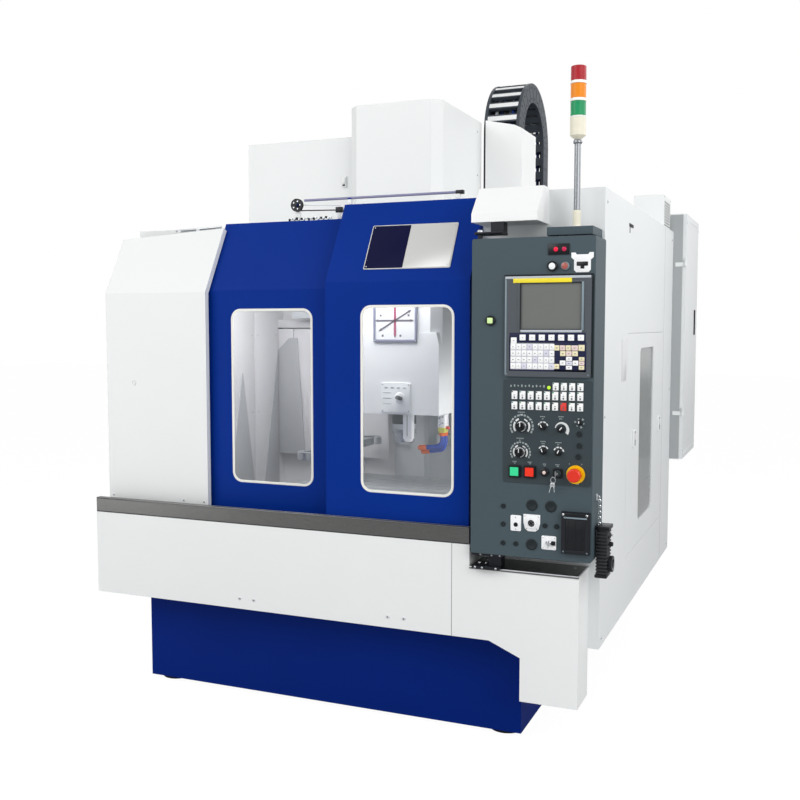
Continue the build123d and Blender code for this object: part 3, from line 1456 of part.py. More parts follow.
# Signal tower: foot, pole, base, the white rings between the lenses and the core through them
lens_place = (tower_x, tower_back)
lens_ranges = []
for lens in range(lens_count):
    lens_start = tower_base_z[1] + lens * (lens_height + lens_gap)
    lens_ranges.append((lens_start, lens_start + lens_height))
with BuildPart() as signal_tower:
    foot_top = bracket_z[1] + tower_foot_height
    rod_z(*lens_place, tower_foot_radius, (bracket_z[1], foot_top))
    cone_z(*lens_place, (tower_foot_radius, tower_pole_radius), (foot_top, foot_top + tower_cone_height))
    rod_z(*lens_place, tower_pole_radius, (foot_top, tower_base_z[0]))
    taper_top = tower_base_z[0] + tower_taper
    cone_z(*lens_place, (tower_pole_radius, tower_base_radius), (tower_base_z[0], taper_top))
    rod_z(*lens_place, tower_base_radius, (taper_top, tower_base_z[1]))
    core_top = lens_ranges[-1][1] - lens_roof - clearance
    rod_z(*lens_place, tower_pole_radius, (tower_base_z[1], core_top))
    for lens_range in lens_ranges[:-1]:
        rod_z(*lens_place, lens_ring_radius, (lens_range[1], lens_range[1] + lens_gap))
finish(signal_tower, "signal_tower")

with BuildPart() as tower_lenses:
    for lens_range in lens_ranges:
        rod_z(*lens_place, lens_radius, lens_range)
        rod_z(*lens_place, lens_inner_radius, lens_range, Mode.SUBTRACT)
    roof_z = (lens_ranges[-1][1] - lens_roof, lens_ranges[-1][1])
    rod_z(*lens_place, lens_radius, roof_z)
finish(tower_lenses, "tower_lenses")
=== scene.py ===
import math
from itertools import product
import bpy
import bmesh
from mathutils import Matrix, Vector


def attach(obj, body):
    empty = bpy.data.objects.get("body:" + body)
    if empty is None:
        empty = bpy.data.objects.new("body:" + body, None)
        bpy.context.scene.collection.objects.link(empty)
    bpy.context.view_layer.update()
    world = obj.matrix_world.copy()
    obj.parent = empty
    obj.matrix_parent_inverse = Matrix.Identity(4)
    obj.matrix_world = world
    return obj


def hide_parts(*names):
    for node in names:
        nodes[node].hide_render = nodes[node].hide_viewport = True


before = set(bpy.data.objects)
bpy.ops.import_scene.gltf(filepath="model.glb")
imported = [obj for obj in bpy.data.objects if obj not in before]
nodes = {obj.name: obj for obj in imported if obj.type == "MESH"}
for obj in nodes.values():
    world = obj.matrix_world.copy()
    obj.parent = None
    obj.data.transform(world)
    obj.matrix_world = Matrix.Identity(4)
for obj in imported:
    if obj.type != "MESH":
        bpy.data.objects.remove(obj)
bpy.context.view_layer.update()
print("frame loaded:", len(nodes), "nodes")

millimetre = 0.001
# places below count from the enclosure's middle, the base's front and the floor, in millimetres
frameShift = Vector((-37.5, -1167.5, 0))
toFront, toRight, upward = (0, -1, 0), (1, 0, 0), (0, 0, 1)


def at(x, y, z):
    return (Vector((x, y, z)) + frameShift) * millimetre


def hexColour(code):
    # sRGB hex to the linear values that Blender works in
    channels = [int(code[i:i + 2], 16) / 255 for i in (1, 3, 5)]
    linear = [c / 12.92 if c <= 0.04045 else ((c + 0.055) / 1.055) ** 2.4 for c in channels]
    return (*linear, 1)


def addNode(tree, kind, settings=None, links=None):
    node = tree.nodes.new(kind)
    for key, value in (settings or {}).items():
        if key in node.inputs:
            node.inputs[key].default_value = value
        else:
            setattr(node, key, value)
    for key, source in (links or {}).items():
        tree.links.new(source, node.inputs[key])
    return node


driftMm, reliefMm = 400, 0.2  # the same on every finish


def makeFinish(name, look):
    # A painted, moulded or machined surface: broad tone drift, fine grain in the gloss, and relief
    material = bpy.data.materials.new(name)
    material.use_nodes = True
    tree = material.node_tree
    tree.nodes.clear()
    place = addNode(tree, "ShaderNodeTexCoord").outputs["Object"]
    stretch = look.get("stretch", (1, 1, 1))
    mapped = addNode(tree, "ShaderNodeMapping", {"Scale": stretch}, {"Vector": place}).outputs["Vector"]
    grainScale = 1 / (look.get("grainMm", 2) * millimetre)
    grain = addNode(tree, "ShaderNodeTexNoise", {"Scale": grainScale, "Detail": 3.0, "Roughness": 0.6},
                    {"Vector": mapped}).outputs["Fac"]
    driftScale = 1 / (driftMm * millimetre)
    drift = addNode(tree, "ShaderNodeTexNoise", {"Scale": driftScale, "Detail": 2.0},
                    {"Vector": place}).outputs["Fac"]
    base = hexColour(look["colour"])
    tint = look.get("tint", 0.06)
    darker = tuple(c * (1 - tint) for c in base[:3]) + (1,)
    lighter = tuple(min(1, c * (1 + tint)) for c in base[:3]) + (1,)
    broad = addNode(tree, "ShaderNodeMix", {"data_type": "RGBA"})
    tree.links.new(drift, broad.inputs[0])
    broad.inputs[6].default_value = darker
    broad.inputs[7].default_value = lighter
    fine = addNode(tree, "ShaderNodeMix", {"data_type": "RGBA", "blend_type": "MULTIPLY"})
    fine.inputs[0].default_value = look.get("grainTone", 0.08)
    tree.links.new(broad.outputs[2], fine.inputs[6])
    tree.links.new(grain, fine.inputs[7])
    rough = look.get("rough", 0.4)
    sway = look.get("roughSway", 0.06)
    gloss = addNode(tree, "ShaderNodeMapRange", {"To Min": rough - sway, "To Max": rough + sway},
                    {"Value": grain}).outputs["Result"]
    shader = addNode(tree, "ShaderNodeBsdfPrincipled",
                     {"Metallic": look.get("metallic", 0.0), "IOR": 1.5,
                      "Specular IOR Level": look.get("spec", 0.5),
                      "Coat Weight": look.get("coat", 0.0), "Coat Roughness": look.get("coatRough", 0.1),
                      "Alpha": look.get("alpha", 1.0)},
                     {"Base Color": fine.outputs[2], "Roughness": gloss})
    if look.get("glow"):
        shader.inputs["Emission Color"].default_value = base
        shader.inputs["Emission Strength"].default_value = look["glow"]
    relief = addNode(tree, "ShaderNodeBump", {"Strength": look.get("relief", 0.1),
                                              "Distance": reliefMm * millimetre},
                     {"Height": grain})
    if look.get("edgeMm"):
        edge = addNode(tree, "ShaderNodeBevel", {"samples": 4, "Radius": look["edgeMm"] * millimetre})
        tree.links.new(edge.outputs["Normal"], relief.inputs["Normal"])
    tree.links.new(relief.outputs["Normal"], shader.inputs["Normal"])
    out = addNode(tree, "ShaderNodeOutputMaterial")
    tree.links.new(shader.outputs["BSDF"], out.inputs["Surface"])
    return material


# Looks that kindred finishes share; a row below adds its colour and whatever differs
sheetCoat = dict(rough=0.42, spec=0.35, grainMm=2.2, relief=0.06, grainTone=0.02, edgeMm=1.6)
keycap = dict(rough=0.36, grainMm=0.8, relief=0.05, tint=0.03)
pushCap = dict(rough=0.3, relief=0.03, coat=0.3)
lampCap = dict(rough=0.25, spec=0.3, relief=0.02)
lensCap = dict(rough=0.25, spec=0.4, grainMm=3, relief=0.05, coat=0.15)
clearPane = dict(roughSway=0.02, spec=0.3, grainMm=30, relief=0.0)
cableSkin = dict(rough=0.5, grainMm=1, relief=0.08)
hoseSkin = dict(rough=0.35, spec=0.3, grainMm=1, relief=0.05)
inked = dict(rough=0.5, grainMm=1, relief=0.02)

finishLooks = {
    # powder coat on folded sheet: slight orange peel, soft satin reflections
    "powderCoatWhite": dict(sheetCoat, colour="#eceeee", tint=0.015),
    # a lighter copy of the same white: painted light
    "powderCoatPaintedLight": dict(sheetCoat, colour="#f3f4f4", tint=0.01),
    # a darker copy of the same white: painted shade
    "powderCoatPaintedShade": dict(sheetCoat, colour="#e4e7e8", rough=0.44, tint=0.02),
    # blue enamel of the doors: a deep even colour with hardly any gloss
    "enamelBlue": dict(colour="#032e88", rough=0.42, spec=0.06, grainMm=2.5, relief=0.05, tint=0.08, grainTone=0.03,
                       edgeMm=1.8),
    # brushed paint over a casting: a little uneven, darker and duller than the doors
    "castingBlue": dict(colour="#022375", rough=0.5, spec=0.06, grainMm=4, relief=0.16, tint=0.1, grainTone=0.05,
                        edgeMm=3),
    # stainless brushed along the rail: long streaks, stretched highlights
    "brushedStainless": dict(colour="#767675", metallic=1.0, rough=0.3, roughSway=0.12, grainMm=1.2,
                             stretch=(0.02, 1, 1), relief=0.12, grainTone=0.3),
    # sprayed paint inside the chamber: plain and rather dull
    "liningPaint": dict(colour="#dfdee0", rough=0.5, grainMm=3, relief=0.08, tint=0.03),
    # a grey darker than the lining: painted shade for the guard sheets
    "guardPaintedShade": dict(colour="#b2b3b6", rough=0.5, grainMm=3, relief=0.06, tint=0.03),
    "castingGrey": dict(colour="#c9cdd0", rough=0.5, grainMm=5, relief=0.2, tint=0.05, edgeMm=2),
    # fine structure paint of the control case: grey-green, nearly matt
    "structurePaint": dict(colour="#435259", rough=0.55, spec=0.3, grainMm=1.6, relief=0.2, grainTone=0.1, edgeMm=4),
    "platePaint": dict(colour="#333e43", rough=0.5, spec=0.3, grainMm=1.4, relief=0.15, tint=0.05, grainTone=0.1,
                       edgeMm=0.6),
    # injection moulded plastics: darker, with a very fine spark texture
    "bezelMoulding": dict(colour="#474d54", rough=0.45, grainMm=0.9, relief=0.15, tint=0.05, edgeMm=1.5),
    "blankMoulding": dict(colour="#1a2226", rough=0.5, spec=0.25, grainMm=1.2, tint=0.1),
    "creamMoulding": dict(colour="#e8e4d0", grainMm=1.5, relief=0.06, tint=0.03),
    "matBlack": dict(colour="#171a20", rough=0.55, spec=0.25, grainMm=1.2, relief=0.2, tint=0.1, grainTone=0.15,
                     edgeMm=0.8),
    "phenolicBlack": dict(colour="#101318", rough=0.32, spec=0.25, grainMm=1.2, relief=0.06, tint=0.1, coat=0.08,
                          edgeMm=0.4),
    "chainNylon": dict(colour="#3a4048", rough=0.5, spec=0.3, grainMm=1.5, relief=0.15, tint=0.1, edgeMm=1.5),
    "barNylon": dict(colour="#eff0f0", rough=0.45, grainMm=1.5),
    # switched-off screen behind a hard pane: warm grey with a clear reflection
    "screenPane": dict(colour="#6c6f6c", rough=0.2, roughSway=0.02, spec=0.3, grainMm=6, relief=0.0, tint=0.05,
                       grainTone=0.03, coat=0.15, coatRough=0.05),
    # silicone and ABS key caps: clean edges, satin
    "keycapWhite": dict(keycap, colour="#fbfcfc", rough=0.35, tint=0.02),
    "keycapCream": dict(keycap, colour="#efe6c0", rough=0.38),
    "keycapPink": dict(keycap, colour="#ecd5d0"),
    "keycapViolet": dict(keycap, colour="#dcdcea"),
    "keycapRed": dict(keycap, colour="#e23a30", rough=0.35),
    # push buttons and lamps: smooth clear-coated caps that glow a little
    "pushGreen": dict(pushCap, colour="#2fd692", rough=0.28, relief=0.04, coat=0.4, glow=0.12),
    "pushRed": dict(pushCap, colour="#f02c08", rough=0.28, relief=0.04, coat=0.4, glow=0.08),
    "pushWhite": dict(pushCap, colour="#e9eef0", glow=0.1),
    "pushDullRed": dict(pushCap, colour="#a8564c"),
    "pushPaleGreen": dict(pushCap, colour="#cdeba2", glow=0.2),
    "pushRose": dict(pushCap, colour="#f3d8d2", relief=0.02, coat=0.2),
    "mushroomRed": dict(pushCap, colour="#e2301c", spec=0.4, relief=0.04, coat=0.15),
    "lampRed": dict(lampCap, colour="#e0123c", glow=0.35),
    "lampMagenta": dict(lampCap, colour="#c01848", glow=0.2),
    "lampGreen": dict(colour="#b8f03c", rough=0.3, relief=0.02, glow=0.5),
    "lampTeal": dict(colour="#1f7f86", relief=0.02),
    "lampDiffuser": dict(colour="#f6f8f8", relief=0.02, glow=2.0),
    # ribbed lenses of the signal tower: saturated, wet-looking plastic
    "lensRed": dict(lensCap, colour="#ae1726", glow=0.03),
    "lensAmber": dict(lensCap, colour="#ee8c00", glow=0.05),
    "lensGreen": dict(lensCap, colour="#06945c", glow=0.03),
    # safety panes: one nearly clear with a weak haze, one almost opaque
    "polycarbonate": dict(clearPane, colour="#c4ccd0", rough=0.1, alpha=0.07),
    "smokedPane": dict(clearPane, colour="#9ba0a0", rough=0.2, alpha=0.8),
    # labels, printed marks and seams: flat, even colour
    "signalYellow": dict(colour="#ffc400", rough=0.38, spec=0.3, relief=0.04),
    "labelYellow": dict(colour="#f5e12e", relief=0.03),
    "labelBare": dict(colour="#d6d8da", rough=0.3, relief=0.02, tint=0.02),
    "directionWhite": dict(colour="#eceeee", rough=0.35, relief=0.03, tint=0.02),
    "markWhite": dict(inked, colour="#e9ecec", relief=0.03, tint=0.02),
    "mutedMat": dict(inked, colour="#c9cbd6", relief=0.03),
    # dark mats, and thin strips of painted shadow round the key field
    "navyMatAndPaintedShadow": dict(inked, colour="#141a3c", spec=0.25, relief=0.05, tint=0.1),
    # a dark strip colour: painted shade beside the display
    "paintedShadeStrip": dict(inked, colour="#232c30", rough=0.6, spec=0.2, relief=0.05),
    "legendGrey": dict(inked, colour="#596168"),
    "scaleGrey": dict(inked, colour="#9aa4a6"),
    "lineRed": dict(inked, colour="#a84a68", rough=0.45),
    "lineGrey": dict(inked, colour="#6c6670", rough=0.45),
    "seamShade": dict(colour="#a9adaf", rough=0.55, grainMm=1.5, relief=0.05, tint=0.03),
    # painted and plated trim: the name plate's fields, frames, and light edge strips that are painted highlight
    "plateSilver": dict(colour="#cacac8", metallic=0.3, spec=0.3, rough=0.3, grainMm=1, relief=0.05, tint=0.04,
                        stretch=(0.05, 1, 1), edgeMm=0.6),
    "plateNavy": dict(colour="#0a0c34", rough=0.45, spec=0.06, relief=0.03),
    "frameSteel": dict(colour="#7f8f98", spec=0.4, grainMm=1, relief=0.03, tint=0.03),
    "frameGrey": dict(colour="#84869c", grainMm=1.5, relief=0.05, tint=0.04),
    "paintedEdgeHighlight": dict(colour="#b9c0c8", rough=0.35, grainMm=1, relief=0.03, tint=0.03),
    "socketWhite": dict(colour="#f8f9fb", rough=0.35, grainMm=1, relief=0.05, tint=0.02),
    # bare and plated metal, from blackened with a faint sheen to a mirror
    "blackOxide": dict(colour="#22242a", metallic=0.6, relief=0.15, tint=0.15, grainTone=0.2, edgeMm=0.8),
    "poleSteel": dict(colour="#85888c", metallic=0.8, rough=0.25, grainMm=1, relief=0.03),
    "groundSteel": dict(colour="#b9bdc1", metallic=1.0, rough=0.28, roughSway=0.08, grainMm=1, tint=0.05,
                        grainTone=0.2, edgeMm=1),
    "groundIron": dict(colour="#c3c6c9", metallic=0.55, rough=0.36, roughSway=0.1, grainMm=1.4, stretch=(0.1, 1, 1),
                       relief=0.15, grainTone=0.25, edgeMm=1),
    "zincPlate": dict(colour="#c5c9cc", metallic=0.8, rough=0.35, grainMm=3, grainTone=0.15),
    "chromeBright": dict(colour="#d6d9dc", metallic=1.0, rough=0.12, roughSway=0.03, grainMm=1, relief=0.03,
                         tint=0.03),
    # rubber, hoses and cables: soft edges, no clear reflection
    "softRubber": dict(colour="#202225", rough=0.7, grainMm=1, relief=0.2, tint=0.08),
    "gasketCream": dict(colour="#f2f1ea", rough=0.55, grainMm=1, tint=0.03),
    "hoseBlue": dict(hoseSkin, colour="#1c46ae"),
    "nozzleOrange": dict(hoseSkin, colour="#f26a18"),
    "fittingYellow": dict(colour="#d8d860", grainMm=1, relief=0.03),
    "cableBlack": dict(cableSkin, colour="#17181b", rough=0.55, tint=0.1),
    "cableGrey": dict(cableSkin, colour="#9aa0a4"),
    "cableBlue": dict(cableSkin, colour="#1d3c8c", tint=0.08),
    "cableGreyBlue": dict(cableSkin, colour="#8586a6", rough=0.4, relief=0.05, tint=0.04),
}
finishes = {name: makeFinish(name, look) for name, look in finishLooks.items()}
print("finishes made:", len(finishes))

nodesByFinish = {
    "powderCoatWhite": ["apron", "pedestal", "left_cover", "left_side_panel", "roof_panel", "magazine_cover",
                        "electrical_cabinet", "head_cover"],
    # the panel hood and the column cover take the lighter copy of the white: painted light
    "powderCoatPaintedLight": ["panel_top_cover", "column_cover"],
    # the right side, its hatch and the cabinet door take the darker copy of the white: painted shade
    "powderCoatPaintedShade": ["right_side_panel", "side_hatch", "cabinet_door"],
    "castingBlue": ["bed"], "enamelBlue": ["left_door", "right_door"], "liningPaint": ["chamber_liner"],
    "castingGrey": ["column", "saddle", "spindle_head"], "brushedStainless": ["stainless_trim", "door_tracks"],
    "blackOxide": ["leveling_feet", "hinge_brackets", "door_pulley"],
    "groundSteel": ["x_screw", "y_screw", "z_screw", "spindle", "magazine_drum", "changer_arm"],
    "groundIron": ["table"], "chromeBright": ["key_switch"], "plateSilver": ["nameplate"],
    "polycarbonate": ["left_window", "right_window"], "smokedPane": ["side_window"],
    "structurePaint": ["tower_bracket", "operator_panel"], "platePaint": ["sub_panel"],
    "bezelMoulding": ["display_unit"], "screenPane": ["display_screen"], "keycapWhite": ["keypad", "operator_keys"],
    "phenolicBlack": ["selector_knobs", "feed_dial", "spindle_dial"],
    "matBlack": ["cabinet_latch", "console_box", "pendant", "pendant_wheel"],
    "signalYellow": ["estop_ring"], "mushroomRed": ["emergency_stop"], "socketWhite": ["socket_plates"],
    "pushGreen": ["cycle_start"], "pushRed": ["feed_hold"], "creamMoulding": ["signal_tower"],
    "lensRed": ["tower_lenses"], "chainNylon": ["cable_chain"], "hoseBlue": ["coolant_nozzles"],
}
for finishName, nodeNames in nodesByFinish.items():
    for nodeName in nodeNames:
        nodeMesh = nodes[nodeName].data
        nodeMesh.materials.clear()
        nodeMesh.materials.append(finishes[finishName])
print("frame nodes dressed:", sum(map(len, nodesByFinish.values())))


def joinIn(mesh, fresh):
    # Adds one open mesh to another and frees it
    held = bpy.data.meshes.new("held")
    fresh.to_mesh(held)
    fresh.free()
    mesh.from_mesh(held)
    bpy.data.meshes.remove(held)


def takeIn(mesh, fresh, slotIndex, place=None):
    # Adds a finished shape to the piece's mesh under one of its finishes
    if place is not None:
        bmesh.ops.transform(fresh, matrix=place, verts=fresh.verts)
    for face in fresh.faces:
        face.material_index = slotIndex
    joinIn(mesh, fresh)


sharpTurn = 0.9  # radians between two faces from which their edge counts as a rim


def roundEdges(fresh, edges, edge, segments):
    bmesh.ops.bevel(fresh, geom=edges, offset=edge, offset_type="OFFSET", affect="EDGES", segments=segments,
                    profile=0.5, material=-1)


def roundRims(fresh, edge):
    # Rounds only the edges where two faces meet sharply
    rims = [e for e in fresh.edges if len(e.link_faces) == 2 and e.calc_face_angle() > sharpTurn]
    roundEdges(fresh, rims, edge, 2)


def addBlock(mesh, low, high, slotIndex=0, edge=0.0, segments=2, turn=None):
    # A block between two corners, turned about its middle where a turn is given
    fresh = bmesh.new()
    bmesh.ops.create_cube(fresh, size=1)
    bmesh.ops.scale(fresh, vec=Vector(high) - Vector(low), verts=fresh.verts)
    if edge:
        roundEdges(fresh, fresh.edges[:], edge, segments)
    place = Matrix.Translation((Vector(high) + Vector(low)) / 2)
    takeIn(mesh, fresh, slotIndex, place @ turn if turn else place)


def standAlong(axis):
    return Vector(axis).to_track_quat("Z", "Y").to_matrix().to_4x4()


def addRod(mesh, start, end, radius, slotIndex=0, sides=24, edge=0.0, tip=None):
    # A round bar between two points, as a cone where a tip radius is given
    fresh = bmesh.new()
    axis = Vector(end) - Vector(start)
    bmesh.ops.create_cone(fresh, cap_ends=True, segments=sides, radius1=radius,
                          radius2=radius if tip is None else tip, depth=axis.length)
    if edge:
        roundRims(fresh, edge)
    takeIn(mesh, fresh, slotIndex, Matrix.Translation((Vector(start) + Vector(end)) / 2) @ standAlong(axis))


def addTurned(mesh, profile, place, axis, slotIndex=0, steps=32):
    # (radius, height) pairs spun round the axis that stands on the place
    fresh = bmesh.new()
    verts = [fresh.verts.new((radius, 0, height)) for radius, height in profile]
    edges = [fresh.edges.new(pair) for pair in zip(verts, verts[1:])]
    bmesh.ops.spin(fresh, geom=verts + edges, cent=(0, 0, 0), axis=upward, angle=math.tau, steps=steps,
                   use_merge=True)
    bmesh.ops.remove_doubles(fresh, verts=fresh.verts, dist=0.005)
    bmesh.ops.recalc_face_normals(fresh, faces=fresh.faces)
    takeIn(mesh, fresh, slotIndex, Matrix.Translation(place) @ standAlong(axis))


def setDown(point, depth, facing):
    # A flat point set on a plane that faces along Y, X or Z
    across, up = point
    return {"y": (across, depth, up), "x": (depth, across, up), "z": (across, up, depth)}[facing]


def addPlate(mesh, outline, depths, slotIndex=0, facing="y", hole=None, edge=0.0):
    # A flat outline, with an outline of as many points for its hole, drawn out between two depths
    fresh = bmesh.new()
    loops = []
    for points in [outline] + ([hole] if hole else []):
        verts = [fresh.verts.new(setDown(point, depths[0], facing)) for point in points]
        loops.append([fresh.edges.new((verts[i - 1], verts[i])) for i in range(len(verts))])
    if hole:
        bmesh.ops.bridge_loops(fresh, edges=loops[0] + loops[1])
    else:
        bmesh.ops.contextual_create(fresh, geom=loops[0])
    drawn = bmesh.ops.extrude_face_region(fresh, geom=fresh.faces[:])["geom"]
    moved = [part for part in drawn if isinstance(part, bmesh.types.BMVert)]
    bmesh.ops.translate(fresh, vec=setDown((0, 0), depths[1] - depths[0], facing), verts=moved)
    bmesh.ops.recalc_face_normals(fresh, faces=fresh.faces)
    if edge:
        roundRims(fresh, edge)
    takeIn(mesh, fresh, slotIndex)


def roundedOutline(across, up, corner, steps=6):
    points = []
    for side, rise, start in ((1, 1, 0), (0, 1, 90), (0, 0, 180), (1, 0, 270)):
        middleX = across[side] + (corner if side == 0 else -corner)
        middleZ = up[rise] + (corner if rise == 0 else -corner)
        for step in range(steps + 1):
            angle = math.radians(start + 90 * step / steps)
            points.append((middleX + corner * math.cos(angle), middleZ + corner * math.sin(angle)))
    return points


def grown(pair, step):
    return (pair[0] - step, pair[1] + step)


def openCurve(curve, merge):
    # The curve's own mesh, opened for editing, with its doubles merged
    held = bpy.data.objects.new("held", curve)
    fresh = bmesh.new()
    fresh.from_mesh(held.to_mesh())
    held.to_mesh_clear()
    bpy.data.objects.remove(held)
    bpy.data.curves.remove(curve)
    bmesh.ops.remove_doubles(fresh, verts=fresh.verts, dist=merge)
    return fresh


def addHose(mesh, path, radius, slotIndex=0, sides=12):
    # A tube along a smooth path, made by a bevelled curve
    curve = bpy.data.curves.new("held", "CURVE")
    curve.dimensions = "3D"
    curve.bevel_depth = radius
    curve.bevel_resolution = max(1, sides // 4)
    curve.use_fill_caps = True
    curve.resolution_u = 6
    line = curve.splines.new("NURBS")
    line.points.add(len(path) - 1)
    for point, place in zip(line.points, path):
        point.co = (*place, 1)
    line.use_endpoint_u = True
    line.order_u = 3
    fresh = openCurve(curve, 0.01)
    bmesh.ops.recalc_face_normals(fresh, faces=fresh.faces)
    takeIn(mesh, fresh, slotIndex)


def addNumber(mesh, words, place, height, rise, slotIndex=0):
    # Raised figures that face the operator, made a mesh before they are placed
    curve = bpy.data.curves.new("held", "FONT")
    curve.body = words
    curve.size = height
    curve.extrude = rise
    curve.align_x = "CENTER"
    curve.align_y = "CENTER"
    curve.resolution_u = 2
    fresh = openCurve(curve, 0.001)
    takeIn(mesh, fresh, slotIndex, Matrix.Translation(place) @ Matrix.Rotation(math.pi / 2, 4, "X"))


def addScrew(mesh, place, axis, radius, slotIndex=0, socketIndex=None):
    # A button head with its socket
    head = [(0, radius * 0.55), (radius * 0.55, radius * 0.55), (radius * 0.9, radius * 0.3), (radius, 0), (0, 0)]
    addTurned(mesh, head, place, axis, slotIndex, steps=16)
    if socketIndex is not None:
        top = Vector(place) + Vector(axis) * radius * 0.5
        addRod(mesh, top, top + Vector(axis) * radius * 0.1, radius * 0.42, socketIndex, sides=6)


def addScrews(mesh, acrossX, acrossY, acrossZ, axis, radius, slotIndex=0, socketIndex=None):
    # One screw at every crossing of the three rows of places
    for place in product(acrossX, acrossY, acrossZ):
        addScrew(mesh, place, axis, radius, slotIndex, socketIndex)


def swungAbout(x, z, degrees):
    # A turn in the plane of the front, about a point of it
    return (Matrix.Translation((x, 0, z)) @ Matrix.Rotation(math.radians(degrees), 4, "Y")
            @ Matrix.Translation((-x, 0, -z)))


def finishPiece(mesh, name, body, finishNames):
    for vert in mesh.verts:
        vert.co = at(*vert.co)
    data = bpy.data.meshes.new(name)
    mesh.to_mesh(data)
    mesh.free()
    for finishName in finishNames:
        data.materials.append(finishes[finishName])
    data.shade_smooth()
    data.set_sharp_from_angle(angle=math.radians(32))
    piece = bpy.data.objects.new(name, data)
    bpy.context.collection.objects.link(piece)
    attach(piece, body)
    return piece


# Doors: gaskets round the panes, the two fields of the name plate, the drive bar and its pulley above
doorValues = {
    "left_door": {"window": ((-476, -77), (966, 1724)), "front": -37},
    "right_door": {"window": ((187, 587), (978, 1733)), "front": -125},
    "corner": 45, "gasket": 10, "lift": 1.2,
}
for doorName, pieceName in (("left_door", "leftWindowGasket"), ("right_door", "rightWindowGasket")):
    values = doorValues[doorName]
    across, up = values["window"]
    gasket = bmesh.new()
    inner = roundedOutline(grown(across, -doorValues["gasket"]), grown(up, -doorValues["gasket"]),
                           doorValues["corner"] - doorValues["gasket"])
    outer = roundedOutline(grown(across, 0.4), grown(up, 0.4), doorValues["corner"])
    front = values["front"]
    addPlate(gasket, outer, (front - doorValues["lift"], front + 3), hole=inner, edge=0.8)
    finishPiece(gasket, pieceName, doorName, ["gasketCream"])

plateValues = {"foot": (-125, 1828), "top": (64, 2161), "slant": (55, 266), "left": 187, "right": 559,
               "parting": 358, "border": 4, "proud": 3}
slopeRun = plateValues["top"][0] - plateValues["foot"][0]
slopeRise = plateValues["top"][1] - plateValues["foot"][1]
slopeLean = math.atan2(slopeRun, slopeRise)
slopePlace = (Matrix.Translation((0, plateValues["foot"][0], plateValues["foot"][1]))
              @ Matrix.Rotation(-slopeLean, 4, "X"))
plateFace = bmesh.new()
plateUp = grown(plateValues["slant"], -plateValues["border"])
plateDepth = (-plateValues["proud"] - 1.0, -plateValues["proud"])
leftField = (plateValues["left"] + plateValues["border"], plateValues["parting"] - 1)
rightField = (plateValues["parting"] + 1, plateValues["right"] - plateValues["border"])
addPlate(plateFace, roundedOutline(leftField, plateUp, 3), plateDepth, 0, edge=0.4)
addPlate(plateFace, roundedOutline(rightField, plateUp, 3), plateDepth, 1, edge=0.4)
addScrews(plateFace, grown((plateValues["left"], plateValues["right"]), -12), [plateDepth[0]],
          grown(plateValues["slant"], -12), toFront, 3, 2)
bmesh.ops.transform(plateFace, matrix=slopePlace, verts=plateFace.verts)
finishPiece(plateFace, "nameplateFields", "right_door", ["plateNavy", "plateSilver", "zincPlate"])

driveValues = {"bar": (-172, 545), "back": 82, "height": 2190, "radius": 5.5, "pulley": (-243, 142, 2180)}
drive = bmesh.new()
barStart, barEnd = driveValues["bar"]
addRod(drive, (barStart - 2, driveValues["back"], driveValues["height"]),
       (barEnd + 4, driveValues["back"], driveValues["height"]), driveValues["radius"], 0, edge=1)
addBlock(drive, (barEnd - 26, driveValues["back"] - 9, driveValues["height"] - 8),
         (barEnd + 8, driveValues["back"] + 9, driveValues["height"] + 8), 1, edge=2)
for postX in (35.5, 520.5):
    addBlock(drive, (postX, 73.5, 2146), (postX + 17, 90.5, 2184), 2, edge=1)
finishPiece(drive, "driveBarSleeve", "right_door", ["cableGreyBlue", "blackOxide", "powderCoatWhite"])

pulleyX, pulleyY, pulleyZ = driveValues["pulley"]
bracket = bmesh.new()
addBlock(bracket, (pulleyX - 13, 147.6, 2090), (pulleyX + 13, 155, 2192.5), 2, edge=1.5)
addRod(bracket, (pulleyX, 157, pulleyZ), (pulleyX, 127, pulleyZ), 5.6, 1, edge=1)
addRod(bracket, (pulleyX, 131.5, pulleyZ), (pulleyX, 125.5, pulleyZ), 10, 0, sides=6, edge=1)
addRod(bracket, (pulleyX + 10, 152, 2157), (-30, 142, 2150), 2.6, 0, sides=16)
addRod(bracket, (pulleyX + 12, 152, 2181), (-30, 142, 2168), 1.6, 1, sides=12)
addBlock(bracket, (-52, 133, 2139), (-20, 151, 2163), 0, edge=3)
addBlock(bracket, (-44, 137, 2108), (-28, 147, 2141), 2, edge=1)
for link in range(18):
    linkX = -284 + link * 12
    lift = (0, 3, 1, 5)[link % 4]
    addBlock(bracket, (linkX, 136, 2112 + lift), (linkX + 7.5, 146, 2122 + lift), (0, 1, 1, 0, 1)[link % 5], edge=1.2)
addBlock(bracket, (-286, 139, 2108), (-64, 144, 2113), 1, edge=1)
finishPiece(bracket, "pulleyBracketAndChain", "left_door", ["blackOxide", "zincPlate", "powderCoatWhite"])
wheelMesh = bmesh.new()
wheelRing = [(6, -6.5), (28.5, -6.5), (28.5, -3.8), (25.4, -3), (25.4, 3), (28.5, 3.8), (28.5, 6.5), (6, 6.5),
             (6, -6.5)]
addTurned(wheelMesh, wheelRing, driveValues["pulley"], toFront, 0, 40)
for spoke in range(5):
    angle = math.tau * spoke / 5
    hub = Vector((pulleyX + 17 * math.cos(angle), pulleyY - 6.3, pulleyZ + 17 * math.sin(angle)))
    addRod(wheelMesh, hub, hub + Vector((0, -0.8, 0)), 3.4, 1, sides=12)
finishPiece(wheelMesh, "pulleyWheelFace", "door_pulley", ["phenolicBlack", "zincPlate"])
print("door pieces made")

